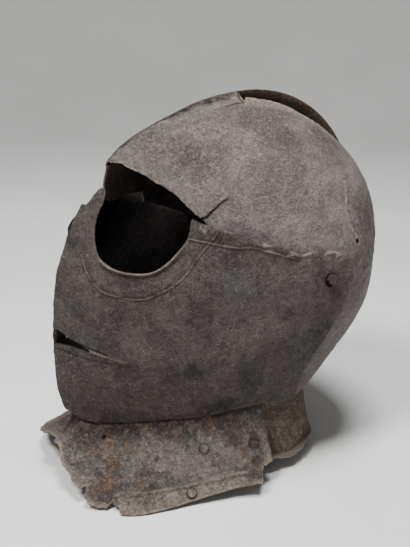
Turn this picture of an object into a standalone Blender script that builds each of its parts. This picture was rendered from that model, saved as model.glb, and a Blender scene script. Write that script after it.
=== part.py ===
"""Closed cavalry helmet of sheet steel with a face-shaped plate turning on two temple rivets.

Metres, +Z up, the face looks along -Y and the wearer's left is +X. The helmet leans back on
its neck flange, which touches the ground at z = 0. Every plate is a thin shell cut from one
head form. The form is described in polar coordinates about the hinge line: theta_deg is the
direction round the hinge as seen from the side (180 forward, 90 up) and t runs from 0 at the
hinge to 1 on the medial line of the helmet.
"""

import bpy
import math
import numpy as np
from mathutils import Vector
from mathutils.geometry import delaunay_2d_cdt

MM = 0.001
PIVOT_Y = 32.0          # hinge line, mm, before CENTRE is added
PIVOT_Z = 167.5
HALF_WIDTH = 93.0       # head form at the hinge, mm
STEP = 8.5              # mesh spacing, mm
SKULL_OUT, SKULL_IN = 0.0, -2.0      # skull plate, measured from the head form
FACE_OUT, FACE_IN = 2.7, 0.8         # face plate, over the skull
FLANGE_HALF = 0.9       # half thickness of the neck flanges
SEAM_GAP = 0.15         # half gap between the skull halves
COMB_FOOT = 14.0        # width over which the skull rises into its comb
COMB_CREST = 2.0        # half width of the crest
FAR_RIM_PUSH = 8.0      # how far the right nasal rim is bent forward
PIVOT_HOLE_R = 3.3
PIVOT_SHANK_R = 3.0
PIVOT_HEAD_R = 6.0
GORGET_RIVET_R = 2.0
GORGET_RIVET_HEAD_R = 4.3
CENTRE = (0.0, 28.2, 0.0)   # added to every point, so that the whole is centred on the origin

# theta_deg, radius_mm of the medial line, pole tangent, rim tangent, keel
FORM = [
    (0, 86.0, 0.62, 0.60, 0.00),
    (20, 92.5, 0.60, 0.60, 0.00),
    (35, 98.5, 0.60, 0.60, 0.00),
    (50, 105.0, 0.60, 0.60, 0.00),
    (63, 111.0, 0.60, 0.58, 0.00),
    (80, 119.0, 0.60, 0.58, 0.00),
    (95, 126.6, 0.60, 0.58, 0.00),
    (110, 135.8, 0.60, 0.56, 0.00),
    (120, 144.2, 0.60, 0.55, 0.03),
    (130, 154.0, 0.60, 0.52, 0.08),
    (140, 165.0, 0.60, 0.50, 0.18),
    (150, 172.5, 0.60, 0.48, 0.39),
    (158, 172.6, 0.60, 0.46, 0.57),
    (168, 180.0, 0.58, 0.44, 0.60),
    (178, 187.6, 0.56, 0.44, 0.60),
    (188, 193.6, 0.56, 0.44, 0.60),
    (198, 203.5, 0.56, 0.46, 0.58),
    (208, 216.2, 0.56, 0.48, 0.51),
    (218, 222.0, 0.56, 0.50, 0.41),
    (228, 217.0, 0.58, 0.52, 0.27),
    (240, 202.5, 0.60, 0.55, 0.12),
    (252, 182.0, 0.60, 0.58, 0.01),
    (264, 157.5, 0.60, 0.58, 0.00),
    (275, 133.0, 0.60, 0.58, 0.00),
    (288, 113.5, 0.60, 0.58, 0.00),
    (300, 104.0, 0.61, 0.58, 0.00),
    (315, 97.0, 0.62, 0.58, 0.00),
    (330, 92.0, 0.62, 0.60, 0.00),
    (345, 88.0, 0.62, 0.60, 0.00),
]
# theta_deg, height_mm of the comb over the head form
COMB = [
    (0, 0.0), (22, 0.0), (34, 4.0), (43, 7.6), (51, 8.6), (60, 10.3), (70, 12.0),
    (80, 12.8), (90, 12.3), (98, 11.0), (105, 9.2), (112, 7.2), (119, 4.7),
    (125, 2.4), (131, 0.7), (136, 0.0), (180, 0.0), (270, 0.0),
]

# Outlines, all as theta_deg, t
TONGUE_TOP = (161.0, 1.0)
EYE_RIM = [
    (159.3, 0.9925), (157.4, 0.985), (155.9, 0.975), (155.1, 0.964), (155.0, 0.953), (155.6, 0.943),
    (158.0, 0.936), (161.8, 0.934),
    (165.2, 0.920), (167.5, 0.905), (170.0, 0.885), (172.8, 0.856), (174.4, 0.819),
    (175.5, 0.770), (175.9, 0.717), (175.5, 0.655), (174.4, 0.614), (171.5, 0.575),
    (166.8, 0.545), (162.1, 0.534), (158.0, 0.534), (154.0, 0.533), (152.3, 0.527),
]
# The right eye opening is a narrower slot, which shows no light in the view from the left
EYE_RIM_RIGHT = [
    (161.6, 0.988), (162.3, 0.970), (163.1, 0.952), (164.2, 0.938), (165.6, 0.927), (167.4, 0.916),
    (169.8, 0.902), (171.4, 0.886), (171.6, 0.870), (170.4, 0.860), (167.6, 0.854), (164.4, 0.850),
    (161.4, 0.842), (158.8, 0.822), (157.0, 0.780), (155.6, 0.720), (154.4, 0.650), (153.2, 0.580),
    (152.3, 0.527),
]
# How far the plates stand in or out between the brow and the cheeks, so that the face plate can
# swing over the skull: theta_deg, reach_deg, distance_mm from the hinge line, reach_mm, depth_mm
LEFT_RELIEF = [
    (141.0, 24.0, 96.0, 68.0, 3.7), (146.0, 12.0, 162.0, 22.0, 2.4), (141.0, 20.0, 112.0, 40.0, 2.6),
    (254.0, 28.0, 62.0, 52.0, 2.3),
]
RIGHT_RELIEF = [
    (142.0, 26.0, 112.0, 76.0, 5.2), (142.0, 20.0, 140.0, 26.0, 2.2), (146.0, 12.0, 162.0, 22.0, 2.4),
    (254.0, 28.0, 62.0, 52.0, 2.3),
]
RIGHT_SWELL = [(168.0, 24.0, 124.0, 52.0, 3.2)]
SEAM = [
    (152.3, 0.527), (152.8, 0.505), (151.6, 0.417), (150.0, 0.346), (147.7, 0.257),
    (143.1, 0.163), (137.6, 0.128), (117.4, 0.113), (87.2, 0.110), (60.4, 0.115),
    (35.0, 0.128), (17.1, 0.133), (355.0, 0.129), (337.4, 0.128), (308.0, 0.148),
    (284.0, 0.195), (271.1, 0.225), (263.5, 0.255), (259.6, 0.309), (259.8, 0.385),
    (262.3, 0.461),
]
FACE_BOTTOM = [
    (262.3, 0.461), (254.0, 0.410), (243.5, 0.391), (234.1, 0.441), (229.3, 0.501),
    (225.3, 0.565), (222.1, 0.640), (219.7, 0.723), (217.9, 0.816), (216.0, 0.910),
    (213.6, 0.975), (211.0, 1.0),
]
SLIT_LOWER = [(195.1, 1.0), (195.7, 0.968), (196.5, 0.930), (198.4, 0.862)]
SLIT_UPPER = [(197.9, 0.860), (195.0, 0.929), (193.4, 0.967), (191.9, 1.0)]
# The right half of the plate has its own narrow slit, a little way from the medial line
SLIT_RIGHT_LOWER = [(196.4, 0.938), (197.1, 0.905), (198.4, 0.866)]
SLIT_RIGHT_UPPER = [(198.4, 0.866), (196.2, 0.905), (195.4, 0.935), (196.4, 0.938)]
BROW = [
    (148.6, 1.0), (148.0, 0.965), (147.4, 0.927), (147.3, 0.867), (147.1, 0.787),
    (147.3, 0.742), (147.4, 0.680), (148.1, 0.611), (150.0, 0.535), (151.5, 0.481),
    (152.6, 0.450),
]
BROW_RIGHT = [
    (149.2, 1.0), (150.2, 0.975), (152.2, 0.945), (155.0, 0.920), (157.4, 0.885),
    (158.6, 0.845), (159.0, 0.800), (158.6, 0.755), (157.6, 0.700), (156.2, 0.640),
    (154.8, 0.560), (153.8, 0.500), (152.6, 0.450),
]
NAPE_BOTTOM = [
    (282.6, 1.0), (282.2, 0.90), (280.2, 0.76), (276.0, 0.64), (270.5, 0.555),
    (264.5, 0.500),
]
# theta_deg, distance_mm from the hinge line
SKULL_HIDDEN = [
    (259.0, 104.0), (254.0, 84.0), (252.0, 66.0), (250.0, 51.0), (235.0, 37.0),
    (205.0, 28.0), (180.0, 28.0), (162.0, 36.0), (157.0, 61.5), (157.0, 83.0),
    (157.5, 97.0),
]
# theta_deg, distance_mm of the broken edge of the left comb flank from the medial line
COMB_BREAK = [
    (103.4, 0.6), (103.0, 5.6), (102.4, 5.0), (101.6, 3.4), (98.0, 4.1), (93.0, 4.7),
    (88.5, 5.4), (84.5, 6.6), (80.5, 7.5), (75.5, 8.2), (70.5, 8.6), (65.0, 8.0), (60.0, 6.2),
    (55.0, 4.2), (50.0, 2.6), (45.0, 1.6), (38.0, 1.0), (30.0, 0.0),
]
REAR_HOLE = (42.4, 0.230, 2.4)      # theta_deg, t, radius_mm

# Front neck flange: theta_deg and t of its neck line, then its rim in mm
FRONT_FLANGE = [
    (211.0, 1.000, 0.0, -168.0, 30.0),
    (213.6, 0.975, 9.0, -173.5, 31.5),
    (214.9, 0.945, 19.0, -174.0, 27.0),
    (216.0, 0.910, 33.0, -173.0, 20.5),
    (217.9, 0.816, 52.0, -169.0, 13.5),
    (219.7, 0.723, 68.0, -161.0, 4.5),
    (222.1, 0.640, 82.0, -146.5, 1.0),
    (225.3, 0.565, 90.0, -134.0, 0.0),
    (229.3, 0.501, 94.5, -115.0, 1.5),
    (232.0, 0.468, 97.7, -92.0, 4.0),
    (234.6, 0.438, 101.0, -74.5, 7.0),
    (237.6, 0.414, 105.5, -52.5, 10.0),
    (240.6, 0.398, 111.0, -35.5, 12.5),
    (243.4, 0.391, 103.0, -27.0, 15.5),
    (246.0, 0.391, 96.5, -17.0, 17.5),
]
# Rear neck flange: theta_deg and t of its neck line, inset_mm, rim in mm, lip_mm
REAR_FLANGE = [
    (243.0, 0.425, 5.0, 80.0, -20.0, 17.0, 7.0),
    (248.0, 0.430, 5.0, 80.0, -10.0, 13.0, 8.0),
    (254.0, 0.445, 5.0, 79.5, 1.0, 10.0, 8.5),
    (261.5, 0.488, 4.6, 77.0, 13.0, 9.5, 8.0),
    (269.0, 0.545, 3.5, 72.0, 27.0, 12.0, 5.5),
    (275.5, 0.640, 3.5, 60.5, 42.0, 11.0, 3.0),
    (279.6, 0.760, 3.5, 43.0, 55.0, 4.0, 1.5),
    (281.4, 0.900, 3.5, 24.0, 65.0, 0.0, 0.6),
    (281.7, 1.000, 3.5, 0.0, 71.5, 0.0, 0.5),
]
GORGET_RIVET_AT = (0.636, 0.900)    # fraction along the front flange, fraction down it


def periodic(table, theta):
    """Smooth closed curve through a table whose first column is an angle in degrees."""
    table = np.asarray(table, float)
    knots = np.concatenate([table[:, 0] - 360, table[:, 0], table[:, 0] + 360])
    theta = np.mod(np.asarray(theta, float), 360.0)
    i = np.searchsorted(knots, theta, side="right") - 1
    gap = np.diff(knots)
    out = []
    for c in range(1, table.shape[1]):
        y = np.tile(table[:, c], 3)
        d = np.diff(y) / gap
        m = np.zeros_like(y)
        m[1:-1] = (d[:-1] * gap[1:] + d[1:] * gap[:-1]) / (gap[:-1] + gap[1:])
        s = (theta - knots[i]) / gap[i]
        out.append((2 * s**3 - 3 * s**2 + 1) * y[i] + (s**3 - 2 * s**2 + s) * m[i] * gap[i]
                   + (3 * s**2 - 2 * s**3) * y[i + 1] + (s**3 - s**2) * m[i + 1] * gap[i])
    return out


def radius(theta):
    return periodic(FORM, theta)[0]


def smooth(x):
    x = np.clip(x, 0.0, 1.0)
    return x * x * (3 - 2 * x)


def head_form(theta, t):
    """Points in mm on the left side of the head form, without the comb."""
    theta, t = np.broadcast_arrays(np.asarray(theta, float), np.asarray(t, float))
    big_r, a, b, k = periodic(FORM, theta)
    u = 1 - t
    r = big_r * (3 * u * u * t * a + 3 * u * t * t * (1 - k * b) + t**3)
    x = HALF_WIDTH * (u**3 + 3 * u * u * t + 3 * u * t * t * b)
    # round the hinge the sides are the same in every direction, so that the plates can slide
    boss = HALF_WIDTH * (1 - 0.5 * (r / 150.0) ** 2)
    w = smooth((62 - r) / 38.0)
    x = x * (1 - w) + boss * w
    a = np.radians(theta)
    return np.stack([x, PIVOT_Y + r * np.cos(a), PIVOT_Z + r * np.sin(a)], -1)


def bumps(table, theta, r):
    """Sum of the smooth round bumps of a table."""
    out = np.zeros(np.broadcast(theta, r).shape)
    for at, reach, from_hinge, width, depth in table:
        a = np.clip(1 - ((theta - at) / reach) ** 2, 0.0, 1.0) ** 2
        b = np.clip(1 - ((r - from_hinge) / width) ** 2, 0.0, 1.0) ** 2
        out = out + depth * a * b
    return out


def skull_form(theta, t, relief=LEFT_RELIEF):
    """Head form with the flank of the comb rising near the medial line."""
    points = head_form(theta, t)
    depth = bumps(relief, np.asarray(theta, float), np.hypot(points[..., 1] - PIVOT_Y, points[..., 2] - PIVOT_Z))
    points[..., 0] = np.maximum(points[..., 0] - depth, 0.4 * points[..., 0])
    height = periodic(COMB, theta)[0]
    height = np.maximum(height, 0.0)
    big_r = radius(theta)
    u = 1 - (1 - np.asarray(t, float)) * big_r / COMB_FOOT
    v = np.clip((u - 0.1) / 0.9, 0.0, 1.0)
    lift = height * v**2.1
    crest = COMB_CREST * smooth(u / 0.8) * np.clip(height / 5.0, 0.0, 1.0)
    points[..., 0] = np.hypot(points[..., 0], crest)
    a = np.radians(theta)
    points[..., 1] += lift * np.cos(a)
    points[..., 2] += lift * np.sin(a)
    return points


def right_skull_form(theta, t):
    return skull_form(theta, t, RIGHT_RELIEF)


def far_face_form(theta, t):
    """Head form for the right side of the face, with its nasal rim bent forward."""
    points = head_form(theta, t)
    swell = bumps(RIGHT_SWELL, np.asarray(theta, float), np.hypot(points[..., 1] - PIVOT_Y, points[..., 2] - PIVOT_Z))
    points[..., 0] += swell * smooth((0.97 - t) / 0.1)
    along = smooth((theta - 159.5) / 5.0) * smooth((174.0 - theta) / 7.0)
    near = smooth((0.985 - t) / 0.075) * smooth((t - 0.72) / 0.08)
    push = FAR_RIM_PUSH * along * near
    points[..., 1] -= push * 0.96
    points[..., 0] += push * 0.28
    return points


def normals_of(form, theta, t):
    dt = 0.002
    t1 = np.minimum(np.asarray(t, float) + dt, 1.0)
    t0 = np.maximum(t1 - 2 * dt, 1e-4)
    across = form(theta + 0.25, t) - form(theta - 0.25, t)
    along = form(theta, t1) - form(theta, t0)
    n = np.cross(along, across)
    length = np.linalg.norm(n, axis=-1)
    n = n / np.maximum(length, 1e-9)[..., None]
    return n * np.where((n * np.stack([np.full_like(n[..., 0], 0.35), np.cos(np.radians(theta)),
                                       np.sin(np.radians(theta))], -1)).sum(-1) < 0, -1.0, 1.0)[..., None]


def solve_t(theta, r):
    """t of the point at a distance r from the hinge line in the direction theta."""
    big_r, a, b, k = periodic(FORM, theta)
    low, high = np.zeros_like(r), np.ones_like(r)
    for _ in range(40):
        t = (low + high) / 2
        u = 1 - t
        value = big_r * (3 * u * u * t * a + 3 * u * t * t * (1 - k * b) + t**3)
        low, high = np.where(value < r, t, low), np.where(value < r, high, t)
    return (low + high) / 2


def to_plan(theta, t):
    r = radius(theta) * t
    a = np.radians(theta)
    return np.stack([r * np.cos(a), r * np.sin(a)], -1)


def from_plan(points):
    theta = np.degrees(np.arctan2(points[:, 1], points[:, 0])) % 360
    return theta, np.minimum(np.hypot(points[:, 0], points[:, 1]) / radius(theta), 1.0)


def unwrap(pairs):
    """The same outline with theta free of jumps over 360 degrees."""
    out = [list(pairs[0])]
    for theta, t in pairs[1:]:
        while theta - out[-1][0] > 180:
            theta -= 360
        while theta - out[-1][0] < -180:
            theta += 360
        out.append([theta, t])
    return np.array(out, float)


def line(pairs, step, curved=True):
    """Plan points every step mm along a smooth line through (theta_deg, t) pairs."""
    pairs = unwrap(pairs)
    plan = to_plan(pairs[:, 0], pairs[:, 1])
    if curved and len(plan) > 2:
        chord = np.concatenate([[0], np.cumsum(np.linalg.norm(np.diff(plan, axis=0), axis=1) ** 0.5)])
        fine = np.linspace(0, chord[-1], 40 * len(plan))
        slope = np.gradient(plan, chord, axis=0)
        i = np.clip(np.searchsorted(chord, fine, side="right") - 1, 0, len(plan) - 2)
        h = (chord[i + 1] - chord[i])[:, None]
        s = ((fine - chord[i]) / h[:, 0])[:, None]
        plan = ((2 * s**3 - 3 * s**2 + 1) * plan[i] + (s**3 - 2 * s**2 + s) * slope[i] * h
                + (3 * s**2 - 2 * s**3) * plan[i + 1] + (s**3 - s**2) * slope[i + 1] * h)
    length = np.concatenate([[0], np.cumsum(np.linalg.norm(np.diff(plan, axis=0), axis=1))])
    count = max(1, int(round(length[-1] / step)))
    at = np.linspace(0, length[-1], count + 1)
    return np.stack([np.interp(at, length, plan[:, 0]), np.interp(at, length, plan[:, 1])], -1)


def medial(start, end, step):
    """Plan points along the medial line between two directions."""
    count = max(1, int(round(abs(end - start) * math.pi / 180 * 150 / step)))
    theta = np.linspace(start, end, count + 1)
    return to_plan(theta, np.ones_like(theta))


def ring(theta, t, r_mm, count):
    """Plan points of a round hole of r_mm about a point of the form."""
    centre = head_form(theta, t)
    normal = normals_of(head_form, np.array([float(theta)]), np.array([float(t)]))[0]
    e1 = np.cross(normal, [1.0, 0, 0] if abs(normal[0]) < 0.9 else [0, 1.0, 0])
    e1 /= np.linalg.norm(e1)
    e2 = np.cross(normal, e1)
    out = []
    for i in range(count):
        a = 2 * math.pi * i / count
        p = centre + r_mm * (math.cos(a) * e1 + math.sin(a) * e2)
        dy, dz = p[1] - PIVOT_Y, p[2] - PIVOT_Z
        th = math.degrees(math.atan2(dz, dy)) % 360
        out.append(to_plan(np.array([th]), solve_t(np.array([th]), np.array([math.hypot(dy, dz)])))[0])
    return np.array(out)


def join(*parts):
    out = []
    for part in parts:
        for p in part:
            if not out or np.linalg.norm(p - out[-1]) > 1e-6:
                out.append(p)
    if np.linalg.norm(out[0] - out[-1]) < 1e-6:
        out.pop()
    return np.array(out)


def inside(points, loop):
    """Which points are inside a closed loop."""
    x, y = points[:, 0], points[:, 1]
    result = np.zeros(len(points), bool)
    for (x0, y0), (x1, y1) in zip(loop, np.roll(loop, -1, axis=0)):
        if y0 == y1:
            continue
        crosses = (y0 > y) != (y1 > y)
        result ^= crosses & (x < x0 + (y - y0) * (x1 - x0) / (y1 - y0))
    return result


def triangulate(loops, step):
    """Plan points and triangles filling the first loop less the others."""
    outer = loops[0]
    low, high = outer.min(axis=0), outer.max(axis=0)
    rows = np.arange(low[1], high[1], step * 0.866)
    grid = np.array([(x + (step / 2 if i % 2 else 0.0), y) for i, y in enumerate(rows)
                     for x in np.arange(low[0], high[0], step)])
    keep = inside(grid, outer)
    for hole in loops[1:]:
        keep &= ~inside(grid, hole)
    grid = grid[keep]
    edge_points = np.concatenate(loops)
    clear = np.full(len(grid), 1e9)
    for start in range(0, len(edge_points), 200):
        block = edge_points[start:start + 200]
        clear = np.minimum(clear, np.linalg.norm(grid[:, None] - block[None], axis=2).min(axis=1))
    grid = grid[clear > step * 0.55]
    points = np.concatenate([edge_points, grid])
    edges, first = [], 0
    for loop in loops:
        edges += [(first + i, first + (i + 1) % len(loop)) for i in range(len(loop))]
        first += len(loop)
    verts, _, faces, _, _, _ = delaunay_2d_cdt([Vector(p) for p in points], edges, [], 0, 1e-7)
    verts = np.array([tuple(v) for v in verts])
    faces = np.array([f for f in faces if len(f) == 3])
    centres = verts[faces].mean(axis=1)
    keep = inside(centres, outer)
    for hole in loops[1:]:
        keep &= ~inside(centres, hole)
    faces = faces[keep]
    a, b, c = (verts[faces[:, i]] for i in range(3))
    turned = (b[:, 0] - a[:, 0]) * (c[:, 1] - a[:, 1]) - (b[:, 1] - a[:, 1]) * (c[:, 0] - a[:, 0]) < 0
    faces[turned] = faces[turned][:, ::-1]
    return verts, faces


def shell(outer, inner, faces):
    """One closed body between two matching sheets. The faces look out of the outer sheet."""
    count = len(outer)
    seen = {}
    for a, b, c in faces:
        for i, j in ((a, b), (b, c), (c, a)):
            seen[(i, j)] = True
    walls = []
    for i, j in seen:
        if (j, i) not in seen:
            walls += [(j, i, count + i), (j, count + i, count + j)]
    verts = np.concatenate([outer, inner])
    faces = np.concatenate([faces, faces[:, ::-1] + count, np.array(walls, int).reshape(-1, 3)])
    used = np.unique(faces)
    index = np.full(len(verts), -1)
    index[used] = np.arange(len(used))
    return verts[used], index[faces]


def add(name, verts, faces, material, origin=(0.0, 0.0, 0.0)):
    mesh = bpy.data.meshes.new(name)
    origin = np.array(origin, float)
    mesh.from_pydata([tuple(v) for v in (np.asarray(verts) - origin) * MM], [],
                     [tuple(int(i) for i in f) for f in faces])
    mesh.update()
    mesh.materials.append(material)
    obj = bpy.data.objects.new(name, mesh)
    obj.location = tuple((origin + np.array(CENTRE)) * MM)
    bpy.context.scene.collection.objects.link(obj)
    return obj


def material(name, colour, roughness, metallic=0.85):
    mat = bpy.data.materials.new(name)
    mat.use_nodes = True
    shader = mat.node_tree.nodes["Principled BSDF"]
    shader.inputs["Base Color"].default_value = (*colour, 1.0)
    shader.inputs["Roughness"].default_value = roughness
    shader.inputs["Metallic"].default_value = metallic
    return mat


def offset(points, normals, amount, on_medial):
    """Points moved along their normals. Those on the medial line stay in the medial plane."""
    moved = points + normals * amount
    n = normals[on_medial].copy()
    n[:, 0] = 0.0
    flat = np.linalg.norm(n, axis=1)
    moved[on_medial] = points[on_medial] + n / np.maximum(flat, 0.3)[:, None] ** 2 * amount
    return moved


def right_slit(step):
    return np.concatenate([line(SLIT_RIGHT_LOWER, step)[:-1], line(SLIT_RIGHT_UPPER, step)[:-1]])


def face_outline(step, side):
    if side > 0:
        rim, mouth = EYE_RIM, join(line(SLIT_LOWER, step / 2), line(SLIT_UPPER, step / 2))
    else:
        rim, mouth = EYE_RIM_RIGHT, medial(195.1, 191.9, step)
    return join(
        medial(211.0, 195.1, step), mouth,
        medial(191.9, TONGUE_TOP[0], step), line([TONGUE_TOP] + rim, step / 2.2),
        line(SEAM, step / 2), line(FACE_BOTTOM, step / 1.6),
    )


def skull_outline(step, broken):
    ridge = BROW if broken else BROW_RIGHT
    hidden = np.array(SKULL_HIDDEN)
    hidden = list(zip(hidden[:, 0], solve_t(hidden[:, 0], hidden[:, 1])))
    brow = line(ridge, step / 2)
    if broken:
        edge = [(theta, 1 - d / float(radius(theta))) for theta, d in COMB_BREAK]
        top = join(medial(148.6, 103.4, step), line(edge, step / 2, curved=False),
                   medial(30.0, 0.0, step), medial(0.0, -77.4, step))
    else:
        top = join(medial(149.2, 0.0, step), medial(0.0, -77.4, step))
    low = line(NAPE_BOTTOM + hidden[:1], step / 1.5)
    front = line(hidden, step / 1.5)
    close = line([hidden[-1], ridge[-1]], step / 1.5, curved=False)
    return join(top, low, front, close, brow[::-1])


def build_face_plate(mat):
    hole = ring(0.0, 0.0001, PIVOT_HOLE_R, 16)
    outer, inner, faces, middle = [], [], [], {}
    first = 0
    for side, form in ((1, head_form), (-1, far_face_form)):
        holes = [hole] if side > 0 else [hole, right_slit(STEP / 2)]
        plan, sheet = triangulate([face_outline(STEP, side)] + holes, STEP)
        theta, t = from_plan(plan)
        on_medial = t > 0.99999
        base, normal = form(theta, t), normals_of(form, theta, t)
        for key, amount in ((outer, FACE_OUT), (inner, FACE_IN)):
            points = offset(base, normal, amount, on_medial)
            points[on_medial, 0] = 0.0
            key.append(points * np.array([side, 1.0, 1.0]))
        sheet = orient(np.abs(outer[-1][:, :1]) * [1, 0, 0] + outer[-1] * [0, 1, 1], sheet)
        # the two sides share their medial points
        index = np.arange(len(plan)) + first
        for i in np.flatnonzero(on_medial):
            key = (round(plan[i, 0], 3), round(plan[i, 1], 3))
            index[i] = middle.setdefault(key, index[i])
        faces.append(index[sheet if side > 0 else sheet[:, ::-1]])
        first += len(plan)
    verts, faces = shell(np.concatenate(outer), np.concatenate(inner), np.concatenate(faces))
    return add("face_plate", verts, faces, mat, (0.0, PIVOT_Y, PIVOT_Z))


def orient(points, faces):
    """Faces turned so that they look out, away from the middle of the head."""
    a, b, c = (points[faces[:, i]] for i in range(3))
    normal = np.cross(b - a, c - a)
    away = a - np.array([0.0, -10.0, 160.0])
    return faces if (normal * away).sum() > 0 else faces[:, ::-1]


def build_skull(name, side, mat):
    loops = [skull_outline(STEP, broken=side > 0), ring(0.0, 0.0001, PIVOT_HOLE_R, 16)]
    if side > 0:
        loops.append(ring(*REAR_HOLE, 10))
    plan, faces = triangulate(loops, STEP)
    theta, t = from_plan(plan)
    on_medial = (t > 0.99999) & (np.maximum(periodic(COMB, theta)[0], 0) < 0.01)
    form = skull_form if side > 0 else right_skull_form
    base, normal = form(theta, t), normals_of(form, theta, t)
    outer = offset(base, normal, SKULL_OUT, on_medial)
    inner = offset(base, normal, SKULL_IN, on_medial)
    faces = orient(outer, faces)
    for sheet in (outer, inner):
        sheet[:, 0] = np.maximum(sheet[:, 0], SEAM_GAP)
        sheet[:, 0] *= side
    verts, faces = shell(outer, inner, faces if side > 0 else faces[:, ::-1])
    return add(name, verts, faces, mat)


def resample(rows, count):
    """Rows of a table at even steps along a smooth curve."""
    rows = np.asarray(rows, float)
    knots = np.arange(len(rows), dtype=float)
    at = np.linspace(0, len(rows) - 1, count)
    slope = np.gradient(rows, knots, axis=0)
    i = np.clip(at.astype(int), 0, len(rows) - 2)
    s = (at - i)[:, None]
    return ((2 * s**3 - 3 * s**2 + 1) * rows[i] + (s**3 - 2 * s**2 + s) * slope[i]
            + (3 * s**2 - 2 * s**3) * rows[i + 1] + (s**3 - s**2) * slope[i + 1])


def ragged(at, seed, size):
    """Torn-edge profile: a few slow and quick waves of fixed phase, mm."""
    out = np.zeros_like(at)
    for k, (wave, weight) in enumerate(((5.3, 0.5), (11.9, 0.32), (23.7, 0.22), (41.3, 0.12))):
        out += weight * np.sin(at * wave + seed * 1.7 + k * 2.1)
    return out * size


def front_flange_grid(side, columns, rows):
    table = resample(FRONT_FLANGE, columns)
    theta, t, rim = table[:, 0], np.minimum(table[:, 1], 1.0), table[:, 2:5].copy()
    at = np.linspace(0, 1, columns)
    medial_share = np.clip(1 - t, 0, 0.4) / 0.4
    away = smooth(medial_share * 1.4)
    tuck_theta = theta - 1.9 * (1 - away)
    tuck_t = t * (1 - 0.062 * away)
    theta, t = theta + 1.0 * (1 - away), np.minimum(t * (1 + 0.03 * away), 1.0)
    neck = head_form(theta, t)
    normal = normals_of(head_form, theta, t)
    tuck = head_form(tuck_theta, tuck_t)
    tuck_normal = normals_of(head_form, tuck_theta, tuck_t)
    neck, tuck = neck - normal * 1.2, tuck - tuck_normal * 1.2
    neck[0, 0] = tuck[0, 0] = rim[0, 0] = 0.0
    out = rim - neck
    length = np.linalg.norm(out, axis=1, keepdims=True)
    torn = smooth((at - 0.05) / 0.05) * (1 - 0.85 * smooth((at - 0.42) / 0.06)) + 0.0
    torn = torn + 0.8 * smooth((at - 0.86) / 0.05)
    rim = rim + out / length * (ragged(at * 4.0, 1.0 + side, 2.6) * torn)[:, None] * np.array([1.0, 1.0, 0.0])
    rim[:, 2] = np.maximum(rim[:, 2], 0.0)
    out = rim - neck
    s = np.linspace(0, 1, rows)
    middle = (neck + rim) / 2
    lateral = np.stack([out[:, 0], out[:, 1], np.zeros(columns)], -1)
    lateral /= np.maximum(np.linalg.norm(lateral, axis=1, keepdims=True), 1e-6)
    control = middle - lateral * 4.0 - np.array([0.0, 0.0, 4.0])
    grid = [tuck]
    for v in s:
        grid.append((1 - v) ** 2 * neck + 2 * v * (1 - v) * control + v * v * rim)
    grid = np.array(grid)
    grid[:, 0, 0] = 0.0
    return grid


def rear_flange_grid(side, columns, rows):
    table = resample(REAR_FLANGE, columns)
    theta, t, inset = table[:, 0], np.minimum(table[:, 1], 1.0), table[:, 2]
    rim, lip = table[:, 3:6].copy(), table[:, 6]
    at = np.linspace(0, 1, columns)
    neck = head_form(theta, t)
    normal = normals_of(head_form, theta, t)
    neck = neck - normal * inset[:, None]
    rear = smooth((theta - 262.0) / 6.0)
    tuck_theta, tuck_t = theta, t * (1 - 0.05 * rear * (1 - smooth((t - 0.75) / 0.2)))
    tuck_theta = tuck_theta + 3.2 * smooth((t - 0.7) / 0.2)
    tuck = head_form(tuck_theta, tuck_t) - normals_of(head_form, tuck_theta, tuck_t) * inset[:, None]
    tuck = np.where(rear[:, None] > 0.5, tuck, neck + np.array([0.0, 0.0, 0.6]))
    neck[-1, 0] = tuck[-1, 0] = rim[-1, 0] = 0.0
    out = rim - neck
    lateral = np.stack([out[:, 0] * 0.4 + rim[:, 0] * 0.02, out[:, 1] * 0.2 + (rim[:, 1] - 0.0) * 0.012,
                        np.zeros(columns)], -1)
    lateral /= np.maximum(np.linalg.norm(lateral, axis=1, keepdims=True), 1e-6)
    grid = [tuck]
    control = (neck + rim) / 2 - lateral * 3.0
    for v in np.linspace(0, 1, rows):
        grid.append((1 - v) ** 2 * neck + 2 * v * (1 - v) * control + v * v * rim)
    edge = lip + ragged(at * 3.0, 4.0 + side, 1.3) * np.clip(lip / 6.0, 0.0, 1.0)
    grid.append(rim + lateral * edge[:, None] + np.array([0.0, 0.0, 0.8]) * (lip / 9.0)[:, None])
    grid = np.array(grid)
    grid[:, -1, 0] = 0.0
    return grid


def flange(left, right, at_start):
    """One sheet from the grids of both sides, which meet in a shared medial column."""
    right = right.copy()
    right[..., 0] *= -1
    if at_start:
        sheet = np.concatenate([right[:, :0:-1], left], axis=1)
    else:
        sheet = np.concatenate([left[:, :-1], right[:, ::-1]], axis=1)[:, ::-1]
    return sheet


def sheet_faces(rows, columns, hole_cells=()):
    faces = []
    for i in range(rows - 1):
        for j in range(columns - 1):
            a, b, c, d = i * columns + j, i * columns + j + 1, (i + 1) * columns + j + 1, (i + 1) * columns + j
            faces += [(a, d, c), (a, c, b)]
    return np.array(faces)


def sheet_normals(sheet):
    down = np.gradient(sheet, axis=0)
    along = np.gradient(sheet, axis=1)
    n = np.cross(down, along)
    return n / np.maximum(np.linalg.norm(n, axis=2, keepdims=True), 1e-9)


def build_flange(name, sheet, mat, origin):
    rows, columns = sheet.shape[:2]
    normal = sheet_normals(sheet)
    outer = (sheet + normal * FLANGE_HALF).reshape(-1, 3)
    inner = (sheet - normal * FLANGE_HALF).reshape(-1, 3)
    for side in (outer, inner):
        side[:, 2] = np.maximum(side[:, 2], 0.0)
    verts, faces = shell(outer, inner, sheet_faces(rows, columns))
    return add(name, verts, faces, mat, origin)


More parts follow.
